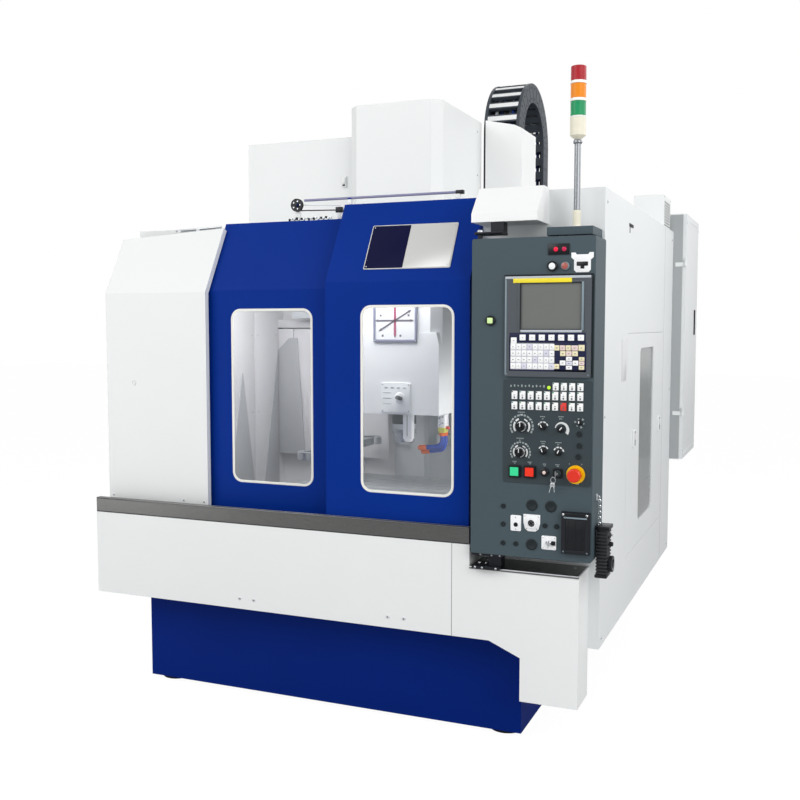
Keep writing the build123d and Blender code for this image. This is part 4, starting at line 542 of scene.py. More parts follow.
# Left cover, rail, apron, pedestal shelf and panel hinges: a plug, a wiper rod, folded lips, seams and screws
sheetValues = {"coverFront": -75, "plug": (-971, 1392), "screws": (-711, -1096, -604),
               "apronScrews": (-378, -308, 317, 387)}
coverMesh = bmesh.new()
plugX, plugZ = sheetValues["plug"]
addTurned(coverMesh, [(0, 1.5), (6, 1.5), (8, 0.5), (8, 0), (11, 1.4), (12.5, 0), (0, 0)],
          (plugX, sheetValues["coverFront"], plugZ), toFront, 0, 28)
addScrews(coverMesh, sheetValues["screws"], [sheetValues["coverFront"]], [872], toFront, 5, 1, 2)
addRod(coverMesh, (-904, 176, 2095), (-657, 176, 2104), 5, 1, edge=1)
for clipX in (-885, -780, -677):
    addBlock(coverMesh, (clipX - 8, 166, 2040), (clipX + 8, 186, 2096), 0, edge=1.5)
finishPiece(coverMesh, "coverPlugAndWiperRod", "base", ["powderCoatWhite", "zincPlate", "blackOxide"])

railMesh = bmesh.new()
addBlock(railMesh, (-1134, -151.4, 864), (659, -147, 871.2), 0, edge=1.6)
# a dark strip in the rubber finish along the rail's foot: painted shadow of the gap under the rail lip
addBlock(railMesh, (-1134, -151, 804), (659, -148, 808.5), 1, edge=1)
addBlock(railMesh, (-1134, -130, 868.5), (659, -127, 871), 0, edge=1)
for rivetX in range(-1080, 640, 172):
    addTurned(railMesh, [(0, 1.2), (2.2, 1.0), (3.4, 0), (0, 0)], (rivetX, -150, 836), toFront, 0, 14)
finishPiece(railMesh, "railLipAndPaintedShadow", "base", ["brushedStainless", "softRubber"])

apronMesh = bmesh.new()
addScrews(apronMesh, sheetValues["apronScrews"], [-153], [480], toFront, 6, 0, 1)
addBlock(apronMesh, (586.4, -149, 436), (589.4, -146, 802), 1)
finishPiece(apronMesh, "apronScrewsAndSeam", "base", ["zincPlate", "softRubber"])

shelfMesh = bmesh.new()
addBlock(shelfMesh, (664, -146, 719), (1090, 18, 720.4), 0)
addRod(shelfMesh, (663, -150.5, 717.5), (1091, -150.5, 717.5), 3.2, 1, sides=16)
addRod(shelfMesh, (1089, -150, 717.5), (1089, 18, 717.5), 3.2, 1, sides=16)
addScrews(shelfMesh, (700, 760, 1050), [-30], [720.4], upward, 6, 1, 2)
finishPiece(shelfMesh, "pedestalShelf", "base", ["brushedStainless", "zincPlate", "blackOxide"])

hingeMesh = bmesh.new()
for screwX in (694, 722, 776):
    addScrew(hingeMesh, (screwX, -120, 731), upward, 7, 0, 1)
    addScrew(hingeMesh, (screwX, -178, 725), toFront, 4.5, 0, 1)
addScrews(hingeMesh, (716, 760, 792), [-178.5], [776.5], toFront, 3.6, 0, 1)
addTurned(hingeMesh, [(0, 9), (9, 9), (12, 6), (12, 0), (0, 0)], (702, -160, 2001.2), upward, 0, 24)
addRod(hingeMesh, (690, -179.5, 1996.5), (786, -179.5, 1996.5), 4, 1, sides=16, edge=1)
finishPiece(hingeMesh, "hingeBolts", "base", ["zincPlate", "blackOxide"])
print("cover, apron and hinge pieces made")

# Operator panel: key caps, bezels, scales, plugs, plates and the hand wheel unit
panelValues = {"front": -185, "plate": -188, "display": -197, "keyGap": 5, "capRise": 4.2, "capEdge": 1.3,
               "markRise": 0.35}


def keyPlaces(across, up, columns, rows):
    # The same even field that the drawing has, row 0 at the top
    pitchX = (across[1] - across[0] + panelValues["keyGap"]) / columns
    pitchZ = (up[1] - up[0] + panelValues["keyGap"]) / rows
    for column in range(columns):
        for row in range(rows):
            left = across[0] + column * pitchX
            low = up[0] + (rows - 1 - row) * pitchZ
            right = left + pitchX - panelValues["keyGap"]
            yield column, row, (left, right), (low, low + pitchZ - panelValues["keyGap"])


def addCap(mesh, across, up, front, slotIndex, markIndex, wide):
    # A rounded key cap with a dash, a share of its width, for its legend
    rise = panelValues["capRise"]
    addBlock(mesh, (across[0], front - rise, up[0]), (across[1], front, up[1]), slotIndex,
             edge=panelValues["capEdge"])
    middleX = (across[0] + across[1]) / 2
    middleZ = (up[0] + up[1]) / 2
    half = (across[1] - across[0]) * wide / 2
    top = front - rise
    addBlock(mesh, (middleX - half, top - panelValues["markRise"], middleZ - 1.1),
             (middleX + half, top + 0.5, middleZ + 1.1), markIndex)


caps = bmesh.new()
front = panelValues["display"]
# the main field lies on a pale mat, the right field and the soft keys on dark ones
addBlock(caps, (834, front - 1, 1490), (998, front + 0.5, 1586), 5, edge=0.4)
for column, row, across, up in keyPlaces((837, 999), (1493, 1583), 8, 4):
    violet = (column + 2 * row) % 5 == 3 and column > 1
    addCap(caps, grown(across, 1.4), grown(up, 1.2), front, 2 if violet else 0, 4,
           0.22 + 0.06 * ((column * 3 + row) % 3))
softStart, softPitch, softWide = 869.5, 36.1, 22.5
for place in range(7):
    left = softStart + place * softPitch
    addCap(caps, (left, left + softWide), (1597, 1618.5), front, 0, 4, 0.12)
addCap(caps, (836, 858), (1583.5, 1608), front, 0, 4, 0.2)
# the right field: the height of each row's keys, then left edge, right edge and finish of each key
rightKeys = [((1561, 1580), ((999, 1019, 1), (1021, 1040, 6), (1042, 1061, 1), (1063, 1087, 6))),
             ((1560, 1582), ((1089, 1111, 1),)),
             ((1541, 1559), ((1022, 1042, 1), (1044, 1064, 6), (1066, 1087, 1))),
             ((1523, 1539), ((1044, 1066, 0),)), ((1507, 1525), ((1021, 1042, 0), (1068, 1089, 0))),
             ((1507, 1521.5), ((1044, 1066, 2),)), ((1492, 1505.5), ((1044, 1066, 0),)),
             ((1524, 1538), ((1091, 1111, 1),)), ((1508.5, 1522.5), ((1091, 1111, 6),)),
             ((1492, 1507), ((1091, 1111, 1),)), ((1494, 1512), ((1000, 1019, 1),))]
for up, rowKeys in rightKeys:
    for left, right, capIndex in rowKeys:
        addCap(caps, (left, right), up, front, capIndex, 4, 0.3)
cross = finishPiece(caps, "displayKeyCaps", "operator_panel",
                    ["keycapWhite", "keycapCream", "keycapViolet", "keycapRed", "legendGrey", "mutedMat",
                     "keycapPink"])
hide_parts("keypad")

rows = bmesh.new()
plate = panelValues["plate"]


def addRowKey(across, up, capIndex, lampIndex):
    # A narrow key with its lamp in the top left corner and a dark legend under the middle
    middleX = (across[0] + across[1]) / 2
    addCap(rows, (middleX - 11, middleX + 11), grown(up, 1.6), plate, capIndex, 2, 0.3)
    top = plate - panelValues["capRise"]
    addBlock(rows, (middleX - 2.6, top - 0.5, up[0] + 1.5), (middleX + 2.6, top + 0.5, up[0] + 8.5), 2)
    addBlock(rows, (middleX - 10, top - 0.5, up[1] - 4), (middleX - 5.5, top + 0.5, up[1] + 0.6), lampIndex)


for column, row, across, up in keyPlaces((992, 1109), (1418, 1441), 4, 1):
    addRowKey(across, (1416, 1441), 0, 5)
for low, high in ((1380, 1408), (1342, 1368)):
    for column, row, across, up in keyPlaces((836, 1109), (low, high), 9, 1):
        red = column == 6 and low == 1342
        addRowKey(across, (low, high), 1 if red else 0, (3, 5, 4)[(column + low) % 3])
keyRows = finishPiece(rows, "operatorKeyCaps", "operator_panel",
                      ["keycapWhite", "keycapRed", "legendGrey", "phenolicBlack", "lensGreen", "lampTeal"])
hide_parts("operator_keys")

display = bmesh.new()
addPlate(display, roundedOutline((862, 1108), (1628, 1816), 6), (front - 2.4, front),
         0, hole=roundedOutline((872, 1098), (1638, 1806), 2), edge=1)
addPlate(display, roundedOutline((869, 1101), (1635, 1809), 3), (front - 2.9, front - 1.6),
         3, hole=roundedOutline((873, 1097), (1639, 1805), 2))
# strips over the display: left, right, low, high, how far they stand out and reach back, finish, edge
for left, right, low, high, proud, back, slotIndex, edge in (
        # this row and the next each hold a light strip along the display's top and bottom edges: painted highlight
        (843, 1062, 1808, 1824, 3.4, 0, 1, 0.5), (812, 1131, 1823, 1832, 1.8, 1, 2, 1),
        (1097.5, 1106.5, 1634, 1810, 3.2, 2, 5, 1.5), (872, 1100, 1627, 1636, 3.4, 0, 2, 1),
        (812, 818, 1470, 1822, 1.2, 1, 5, 0.6), (830, 1114, 1590, 1625.5, 0.7, 0.5, 4, 0.3),
        # the two thin dark strips on this row, left of and under the key field, are painted shadow of its frame
        (829, 834, 1484, 1612, 0.7, 0.5, 4, 0.3), (829, 1117, 1484, 1489.5, 0.7, 0.5, 4, 0.3),
        (998, 1117, 1484, 1591, 0.7, 0.5, 4, 0.3)):
    addBlock(display, (left, front - proud, low), (right, front + back, high), slotIndex, edge=edge)
# a dark strip in the black finish over the display's top edge: painted shadow of that edge
addBlock(display, (806, panelValues["front"] - 3, 1833), (1137, panelValues["front"] + 1, 1839), 3, edge=0.5)
# a dark strip down the case at the display's right side: painted shade
addBlock(display, (1134, panelValues["front"] - 2, 1463), (1141, panelValues["front"] + 1, 1836), 6, edge=0.5)
addScrews(display, grown((810, 1133), -9), [front], [1472], toFront, 3.2, 7, 3)
finishPiece(display, "displayBezel", "operator_panel",
            ["bezelMoulding", "labelYellow", "paintedEdgeHighlight", "matBlack", "navyMatAndPaintedShadow", "frameSteel", "paintedShadeStrip",
             "frameSteel"])
print("key caps and display made")

# Scales printed round the dials, as thin raised marks
scale = bmesh.new()


def addArc(mesh, centre, sweep, near, far, slotIndex=0):
    # A flat band between two radii, its angles in degrees counted from the top
    steps = max(6, int(abs(sweep[1] - sweep[0]) / 7))
    angles = [math.radians(sweep[0] + (sweep[1] - sweep[0]) * i / steps) for i in range(steps + 1)]
    fresh = bmesh.new()
    rims = [[fresh.verts.new((centre[0] + radius * math.sin(angle), plate - 0.6, centre[1] + radius * math.cos(angle)))
             for angle in angles] for radius in (near, far)]
    for i in range(steps):
        fresh.faces.new((rims[0][i], rims[0][i + 1], rims[1][i + 1], rims[1][i]))
    drawn = bmesh.ops.extrude_face_region(fresh, geom=fresh.faces[:])["geom"]
    moved = [part for part in drawn if isinstance(part, bmesh.types.BMVert)]
    bmesh.ops.translate(fresh, vec=(0, 0.7, 0), verts=moved)
    bmesh.ops.recalc_face_normals(fresh, faces=fresh.faces)
    takeIn(mesh, fresh, slotIndex)


# double scales round the two dials: a broken outer ring in grey, a bold inner band in white
for centre, outer, inner, numbers in (((877, 1277), (39, 46), (26, 33), (0, 50, 100, 150, 200)),
                                      ((873, 1180), (34, 40), (23, 29), (50, 80, 100, 120))):
    for dash in range(15):
        start = -126 + dash * 17
        addArc(scale, centre, (start, start + (11 if dash % 3 else 14)), outer[0] + (dash % 2), outer[1], 3)
    for start, end in ((-128, -58), (-50, -22), (20, 50), (58, 128)):
        addArc(scale, centre, (start, end), inner[0], inner[1] - (2 if abs(start) < 40 else 0), 0)
    for place, number in enumerate(numbers):
        angle = math.radians(-105 + 210 * place / (len(numbers) - 1))
        addNumber(scale, str(number), (centre[0] + (outer[0] + 4) * math.sin(angle), plate - 0.5,
                                       centre[1] + (outer[0] + 4) * math.cos(angle)), 5.6, 0.3)
for centre, marks in (((958, 1278), ((-70, -44), (-34, -8), (4, 34), (44, 74))),
                      ((961, 1188), ((-60, -30), (-20, 20), (30, 60)))):
    for start, end in marks:
        addArc(scale, centre, (start, end), 16.5, 21, 0)
for start, end in ((-64, -36), (-26, 2), (12, 40), (50, 78)):
    addArc(scale, (1018, 1186), (start, end), 16.5, 21.5, 0)
for step in range(17):
    addArc(scale, (1026, 1272), (-78 + 12 * step, -65 + 12 * step), 20, 23.5 + 9 * step / 17, 0)
for spoke in range(6):
    addArc(scale, (1095, 1298), (-150 + 60 * spoke, -128 + 60 * spoke), 13, 20 if spoke % 2 else 17, 3)
# two short rows of dashes stand in for each printed heading
dashValues = [(877, 1330, 30), (877, 1322, 12), (958, 1316, 22), (958, 1308, 8), (1026, 1318, 20), (1026, 1310, 14),
              (873, 1232, 30), (873, 1225, 10), (961, 1224, 22), (961, 1216, 14), (1018, 1222, 24), (1018, 1214, 10),
              (853, 1144, 18), (853, 1138, 8), (911, 1144, 18), (911, 1138, 8), (967, 1140, 14), (967, 1134, 8),
              (1016, 1140, 18), (1016, 1134, 8), (1060, 1146, 6), (1106, 1146, 6), (1090, 1072, 14)]
for dashX, dashZ, dashLong in dashValues:
    for piece in range(int(dashLong / 4)):
        start = dashX - dashLong / 2 + piece * 4
        addBlock(scale, (start, plate - 0.5, dashZ - 2 + piece % 2), (start + 2.6, plate + 0.5, dashZ + 2), 3)
for place in range(10):
    dashX = 832 + place * 14
    addBlock(scale, (dashX, plate - 0.5, 1424 + (place % 3)), (dashX + 5, plate + 0.5, 1431 + (place % 2) * 2), 3)
addTurned(scale, [(0, 2.5), (4.5, 2), (7, 0), (0, 0)], (979, plate, 1424), toFront, 1, 20)
addTurned(scale, [(7, 0), (7, 1.6), (9, 1.2), (9.4, 0), (7, 0)], (979, plate, 1424), toFront, 2, 20)
finishPiece(scale, "dialScales", "operator_panel", ["markWhite", "lampGreen", "phenolicBlack", "scaleGrey"])

knobs = bmesh.new()
for knobX, knobZ, radius, lean in ((958, 1278, 13, -30), (1026, 1272, 13, 40), (961, 1188, 13, -20),
                                   (1018, 1186, 13, 25), (1095, 1298, 9.5, 0)):
    profile = [(0, 17), (radius * 0.72, 17), (radius * 0.82, 15.5), (radius * 0.9, 4), (radius, 3.2), (radius, 0),
               (0, 0)]
    addTurned(knobs, profile, (knobX, plate, knobZ), toFront, 0, 28)
    grip = bmesh.new()
    addBlock(grip, (knobX - 2.6, plate - 20.5, knobZ - radius + 1), (knobX + 2.6, plate - 14, knobZ + radius - 1), 0,
             edge=1)
    addBlock(grip, (knobX - 1.9, plate - 20.9, knobZ - 1), (knobX + 1.9, plate - 20, knobZ + radius - 1.5), 1)
    bmesh.ops.transform(grip, matrix=swungAbout(knobX, knobZ, lean), verts=grip.verts)
    joinIn(knobs, grip)
knobPiece = finishPiece(knobs, "selectorKnobs", "operator_panel", ["phenolicBlack", "markWhite"])
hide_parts("selector_knobs")

for bodyName, (dialX, dialZ) in (("feed_dial", (877, 1277)), ("spindle_dial", (873, 1180))):
    dial = bmesh.new()
    for flute in range(24):
        angle = math.tau * flute / 24
        fluteX = dialX + 20.4 * math.cos(angle)
        fluteZ = dialZ + 20.4 * math.sin(angle)
        addRod(dial, (fluteX, plate - 0.6, fluteZ), (fluteX, plate - 6, fluteZ), 1.3, 0, sides=8)
    addTurned(dial, [(16.4, 6.3), (19.5, 6.3), (18.5, 7.6), (16.6, 8), (16.4, 6.3)], (dialX, plate, dialZ),
              toFront, 1, 36)
    addBlock(dial, (dialX - 1.6, plate - 27.5, dialZ + 1), (dialX + 1.6, plate - 26.4, dialZ + 15.4), 2, edge=0.3)
    addBlock(dial, (dialX - 1, plate - 6.9, dialZ + 16.6), (dialX + 1, plate - 5.9, dialZ + 20.4), 2)
    finishPiece(dial, bodyName + "Trim", bodyName, ["phenolicBlack", "chromeBright", "markWhite"])
print("dials and knobs made")

buttons = bmesh.new()
case = panelValues["front"]
lampColours = {(987, 1867): 1, (1034, 1867): 2, (753, 1670): 3}
for (lampX, lampZ), colour in lampColours.items():
    reach = 15.5 if colour == 2 else 19
    addTurned(buttons, [(12.6, 0), (12.6, 11.4), (reach - 3, 11.8), (reach - 0.6, 9.4), (reach, 0), (12.6, 0)],
              (lampX, case, lampZ), toFront, 6 if colour == 2 else 0, 32)
    if colour == 3:
        addBlock(buttons, (lampX - 10.5, case - 14, lampZ - 10.5), (lampX + 10.5, case - 8, lampZ + 10.5), colour,
                 edge=2)
    else:
        addTurned(buttons, [(0, 13.4), (8, 13), (12, 11.4), (12.6, 9), (0, 9)], (lampX, case, lampZ), toFront,
                  colour, 28)
addTurned(buttons, [(7, 9), (7, 13), (12, 13), (15.6, 11), (16, 0), (7, 9)], (967, plate, 1110), toFront, 0, 28)
addTurned(buttons, [(0, 14), (5, 13.4), (6.8, 12), (6.8, 9), (0, 9)], (967, plate, 1110), toFront, 4, 24)
for squareX, squareZ in ((853, 1108), (911, 1109)):
    across, up = (squareX, squareX), (squareZ, squareZ)
    for outer, inner, proud, back, edge in ((23, 16.6, 9.4, 0.2, 1), (20, 14.2, 11.4, 10.4, 0)):
        addPlate(buttons, roundedOutline(grown(across, outer), grown(up, outer), 4), (plate - proud, plate - back), 0,
                 hole=roundedOutline(grown(across, inner), grown(up, inner), 1.5), edge=edge)
addPlate(buttons, roundedOutline((998, 1034), (1091, 1127), 5), (plate - 5, plate - 0.2), 0,
         hole=roundedOutline((1002.6, 1029.4), (1095.6, 1122.4), 13.3), edge=0.8)
addBlock(buttons, (970, case - 4.6, 1908), (1049, case - 0.4, 1948), 0, edge=1.5)
for lampX, lampIndex in ((999, 5), (1030, 7)):
    addTurned(buttons, [(0, 8.4), (5, 7.6), (8.2, 5.4), (8.6, 4), (0, 4)], (lampX, case, 1928), toFront, lampIndex, 24)
    addTurned(buttons, [(8.6, 4), (8.6, 5.6), (10.4, 5.2), (10.8, 4), (8.6, 4)], (lampX, case, 1928), toFront, 0, 24)
finishPiece(buttons, "buttonBezels", "operator_panel",
            ["phenolicBlack", "pushWhite", "pushDullRed", "pushPaleGreen", "pushRose", "lampRed", "frameSteel",
             "lampMagenta"])

plugs = bmesh.new()
plugValues = [(place, 10, plate - 3) for place in ((1094, 1257), (1095, 1214), (1092, 1174))]
plugValues += [(place, 9, case - 3) for place in ((808, 972), (808, 903), (808, 831), (858, 832), (969, 909),
                                                  (1013, 909))]
plugValues += [(place, 21, case - 3) for place in ((919, 983), (991, 983), (919, 834))]
for (plugX, plugZ), radius, level in plugValues:
    addTurned(plugs, [(0, 0.6), (radius * 0.6, 0.6), (radius * 0.7, 1.8), (radius * 0.88, 1.8), (radius * 1.02, 0.4),
                      (radius * 1.02, -2.6), (0, -2.6)], (plugX, level, plugZ), toFront, 0, 28)
finishPiece(plugs, "blankPlugs", "operator_panel", ["blankMoulding"])

plates = bmesh.new()
shield = [(1056, 1914), (1056, 1896), (1066, 1888), (1066, 1852), (1074, 1843), (1119, 1843), (1127, 1852),
          (1127, 1888), (1137, 1896), (1137, 1914), (1122, 1914), (1117, 1907), (1076, 1907), (1071, 1914)]
addPlate(plates, shield, (case - 3.4, case), 0, edge=0.8)
addPlate(plates, roundedOutline((1076, 1117), (1866, 1881), 3), (case - 5, case - 3.2), 1, edge=0.6)
addBlock(plates, (1090, case - 4.6, 1856), (1104, case - 3.2, 1868), 1, edge=0.6)
addPlate(plates, roundedOutline((837, 878), (881, 941), 5), (case - 3.4, case), 0, edge=0.8)
addTurned(plates, [(0, 3.8), (5.4, 3.8), (6.2, 5), (8, 4.6), (8.6, 3.2), (0, 3.2)], (857.5, case, 905),
          toFront, 1, 24)
addScrews(plates, [857.5], [case - 3.4], (889, 933), toFront, 3, 2, 1)
socketShield = [(887, 948), (887, 916), (893, 893), (905, 884), (933, 884), (945, 893), (951, 916), (951, 948)]
addPlate(plates, socketShield, (case - 3.4, case), 0, edge=0.8)
socketProfile = [(13.5, 5), (13.5, 14), (17.5, 14.4), (19.4, 12.5), (20, 3), (13.5, 3), (13.5, 5)]
addTurned(plates, socketProfile, (919, case, 915.5), toFront, 0, 36)
addTurned(plates, [(0, 5), (13.4, 5), (13.4, 3), (0, 3)], (919, case, 915.5), toFront, 1, 32)
for pin in range(6):
    angle = math.tau * pin / 6
    pinX = 919 + 7.6 * math.cos(angle)
    pinZ = 915.5 + 7.6 * math.sin(angle)
    addRod(plates, (pinX, case - 4, pinZ), (pinX, case - 10, pinZ), 1.3, 2, sides=10, edge=0.3)
for screwX, screwZ in ((893, 941), (945, 941), (899, 894), (939, 894)):
    addScrew(plates, (screwX, case - 3.4, screwZ), toFront, 2.6, 2, 1)
addPlate(plates, roundedOutline((957, 1013), (820, 872), 5), (case - 3.4, case), 0, edge=0.8)
addTurned(plates, [(0, 14), (8.6, 13.6), (10.4, 11.5), (10.6, 3), (0, 3)], (985, case, 846), toFront, 2, 28)
addBlock(plates, (983, case - 17, 828), (987, case - 12, 858), 2, edge=1)
addBlock(plates, (996, case - 9, 838), (1010, case - 3, 854), 1, edge=1.5)
addScrews(plates, (963, 1007), [case - 3.4], (826, 866), toFront, 2.6, 2, 1)
platePiece = finishPiece(plates, "socketAndLockPlates", "operator_panel",
                         ["socketWhite", "phenolicBlack", "chromeBright"])
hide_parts("socket_plates")

console = bmesh.new()
consoleFront = case - 16
addPlate(console, roundedOutline((1035, 1138), (815, 968), 5), (consoleFront - 3, consoleFront), 0,
         hole=roundedOutline((1050, 1123), (829, 943), 3), edge=1)
addBlock(console, (1036, consoleFront - 8, 955), (1137, consoleFront - 1, 967), 1, edge=2)
addBlock(console, (1044, consoleFront - 5, 946), (1130, consoleFront - 1, 952), 4, edge=1)
addBlock(console, (1050, consoleFront - 1.2, 829), (1123, consoleFront + 1, 943), 2, edge=0.5)
for groove in range(3):
    grooveX = 1060 + groove * 27
    addBlock(console, (grooveX - 0.8, consoleFront - 1.8, 834), (grooveX + 0.8, consoleFront - 1, 938), 1)
for screwX in (1042.5, 1130.5):
    addScrew(console, (screwX, consoleFront - 3, 822), toFront, 3.4, 4, 2)
    addScrew(console, (screwX, consoleFront - 8, 961), toFront, 4.6, 3, 2)
finishPiece(console, "consoleFrame", "operator_panel",
            ["matBlack", "phenolicBlack", "phenolicBlack", "chromeBright", "frameSteel"])
print("plates and console made")

keys = bmesh.new()
addTurned(keys, [(10.4, -1), (11.6, 0), (10.4, 1), (9.2, 0), (10.4, -1)], (1004, -212, 1086), (0.35, 1, 0), 0, 28)
addTurned(keys, [(0, 0), (5.4, 0), (6, 1), (5.4, 2), (0, 2)], (1016, -209, 1109), toFront, 0, 20)
for keyX, keyLean, keyLong in ((1001, 16, 24), (1006, -6, 20)):
    key = bmesh.new()
    addBlock(key, (keyX - 4.6, -213, 1061), (keyX + 4.6, -211.4, 1075), 0, edge=0.7)
    addBlock(key, (keyX - 1.6, -213, 1061 - keyLong), (keyX + 1.6, -211.4, 1062), 0, edge=0.5)
    bmesh.ops.transform(key, matrix=swungAbout(keyX, 1077, keyLean), verts=key.verts)
    joinIn(keys, key)
finishPiece(keys, "hangingKeys", "key_switch", ["chromeBright"])

mushroom = bmesh.new()
for arrow in range(3):
    angle = math.tau * arrow / 3
    for step in range(6):
        turn = angle + math.radians(8 * step)
        middle = Vector((1083 + 14 * math.sin(turn), -230 + 0.2, 1108 + 14 * math.cos(turn)))
        addBlock(mushroom, middle - Vector((1.1, 0.15, 1.1)), middle + Vector((1.1, 0.45, 1.1)), 0,
                 turn=Matrix.Rotation(turn, 4, "Y"))
finishPiece(mushroom, "emergencyStopArrows", "emergency_stop", ["markWhite"])

pendant = bmesh.new()
addBlock(pendant, (1152, -136, 724), (1190, -66, 906), 0, edge=4)
for rib in range(13):
    ribZ = 733 + rib * 12.6
    addBlock(pendant, (1149.6, -139.6, ribZ), (1193, -64, ribZ + 7), 1, edge=2)
addBlock(pendant, (1148, -142, 898), (1199, -62, 913), 0, edge=3)
addBlock(pendant, (1146, -142, 719), (1192, -62, 731), 0, edge=3)
addTurned(pendant, [(0, 17), (6, 17), (8.5, 15), (9, 3), (14, 2), (15, 0), (0, 0)], (1190, -101, 842), toRight, 0, 28)
addRod(pendant, (1190, -82, 872), (1202, -82, 872), 4.6, 2, sides=16, edge=0.6)
addRod(pendant, (1190, -118, 872), (1200, -118, 872), 5, 1, sides=20, edge=0.6)
addBlock(pendant, (1143.6, -112, 858), (1152, -90, 892), 2, edge=1.5)
pendantPiece = finishPiece(pendant, "handWheelUnit", "operator_panel",
                           ["phenolicBlack", "softRubber", "chromeBright"])
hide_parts("pendant")

wheel = bmesh.new()
wheelY, wheelZ = -101, 768
for step in range(36):
    angle = math.tau * step / 36
    place = Vector((1196.2, wheelY + 28.8 * math.cos(angle), wheelZ + 28.8 * math.sin(angle)))
    addRod(wheel, place + Vector(toRight), place + Vector((9, 0, 0)), 1.7, 0, sides=6)
addTurned(wheel, [(19, 9.6), (22, 11.4), (26.5, 11), (27, 9.6), (19, 9.6)], (1196, wheelY, wheelZ), toRight, 1, 40)
addRod(wheel, (1202, wheelY + 12, wheelZ + 10), (1209.4, wheelY + 12, wheelZ + 10), 4.5, 0, sides=16, edge=1)
finishPiece(wheel, "handWheelRim", "pendant_wheel", ["phenolicBlack", "chromeBright"])

chainMesh = bmesh.new()
addBlock(chainMesh, (1143.8, -126, 1006), (1149, -108, 1030), 1, edge=1)
addHose(chainMesh, [(1148, -117, 1022), (1157, -117, 1022), (1159, -117, 1014), (1156, -117, 1008)], 2, 0, 8)
for link in range(9):
    linkZ = 1004 - link * 10.6
    facing = (1, 0.5, 0) if link % 2 else (0.3, -1, 0)
    addTurned(chainMesh, [(4.6, -1.7), (6.2, -1.1), (7.2, 0), (6.2, 1.1), (4.6, 1.7), (3.8, 0), (4.6, -1.7)],
              (1157, -117, linkZ), facing, 0, 16)
finishPiece(chainMesh, "hangingChain", "operator_panel", ["chromeBright", "zincPlate"])
print("hand wheel unit made")

# Signal tower: three fluted lenses, a steel pole and the collar rings
towerValues = {"place": (1052, -90), "lenses": ((2416, "lensGreen"), (2479, "lensAmber"), (2542, "lensRed")),
               "lensHeight": 53}
towerX, towerY = towerValues["place"]
lenses = bmesh.new()
lensHigh = towerValues["lensHeight"]
for slotIndex, (low, lensName) in enumerate(towerValues["lenses"]):
    profile = [(22, 0.3), (27.4, 0.3)]
    for ring in range(12):
        height = 1.5 + ring * 4.2
        profile += [(27.6, height), (28.4, height + 1.4), (28.4, height + 2.7)]
    if lensName == "lensRed":
        profile += [(27.6, lensHigh - 0.8), (26.4, lensHigh), (0, lensHigh)]
    else:
        profile += [(27.4, lensHigh - 0.3), (22, lensHigh - 0.3), (22, 0.3)]
    addTurned(lenses, profile, (towerX, towerY, low), upward, slotIndex, 48)
lensPiece = finishPiece(lenses, "towerLenses", "base", ["lensGreen", "lensAmber", "lensRed"])
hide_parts("tower_lenses")
tower = bmesh.new()
addTurned(tower, [(11.3, 0), (11.7, 0), (11.7, 256), (11.3, 256), (11.3, 0)], (towerX, towerY, 2076), upward, 0, 32)
addTurned(tower, [(11.9, 0), (15, 0), (16.5, 3), (16.5, 9), (14, 14), (11.9, 14), (11.9, 0)], (towerX, towerY, 2317),
          upward, 0, 32)
addTurned(tower, [(15.2, 0), (26, 0), (27, 2), (26, 4.5), (15.2, 4.5), (15.2, 0)], (towerX, towerY, 2012),
          upward, 1, 32)
addTurned(tower, [(29.1, 0), (29.7, 1), (29.7, 4), (29.1, 5), (28.6, 5), (28.6, 0), (29.1, 0)],
          (towerX, towerY, 2410), upward, 1, 40)
for ringZ in (2469.3, 2532.3):
    addTurned(tower, [(28, 0), (29.8, 0.6), (29.8, 8.8), (28, 9.4), (22, 9.4), (22, 0), (28, 0)],
              (towerX, towerY, ringZ), upward, 2, 40)
for screw in range(3):
    angle = math.tau * screw / 3 + 0.5
    addScrew(tower, (towerX + 21 * math.cos(angle), towerY + 21 * math.sin(angle), 2016.5), upward, 2.2, 0)
finishPiece(tower, "towerPole", "base", ["poleSteel", "powderCoatWhite", "keycapWhite"])

# Cable chain: pale cross bars over the slats, rivets on the dark side plates, cables inside
chainValues = {"across": (262, 450), "middle": 1534, "rise": 2642, "outer": 300, "inner": 200, "slats": 13,
               "seat": 2188, "legSlats": 6}


def chainPlace(turn, radius, x):
    # A place on the chain's bend, turn counted from the front leg in radians
    return Vector((x, chainValues["middle"] - radius * math.cos(turn), chainValues["rise"] + radius * math.sin(turn)))


chain = bmesh.new()
sideLeft, sideRight = chainValues["across"]
for slat in range(chainValues["slats"]):
    turn = math.pi * slat / (chainValues["slats"] - 1)
    middle = chainPlace(turn, chainValues["outer"] - 3.2, (sideLeft + sideRight) / 2)
    addBlock(chain, middle - Vector((78, 13, 2.6)), middle + Vector((78, 13, 2.6)), 0, edge=1.8,
             turn=Matrix.Rotation(-(turn - math.pi / 2), 4, "X"))
    for edgeX in (sideLeft - 0.2, sideRight + 0.2):
        outward = 1 if edgeX > 300 else -1
        for radius in (chainValues["outer"] - 22, chainValues["inner"] + 22):
            rivet = chainPlace(turn, radius, edgeX)
            addTurned(chain, [(0, 1.6), (4, 1.4), (6, 0), (0, 0)], rivet, (outward, 0, 0), 1, 14)
    if slat < chainValues["slats"] - 1:
        seamTurn = turn + math.pi / (chainValues["slats"] - 1) / 2
        for edgeX in (sideLeft, sideRight):
            seam = chainPlace(seamTurn, (chainValues["outer"] + chainValues["inner"]) / 2, edgeX)
            addBlock(chain, seam - Vector((0.7, 1.2, 47)), seam + Vector((0.7, 1.2, 47)), 1,
                     turn=Matrix.Rotation(-(seamTurn - math.pi / 2), 4, "X"))
legPitch = (chainValues["rise"] - chainValues["seat"]) / chainValues["legSlats"]
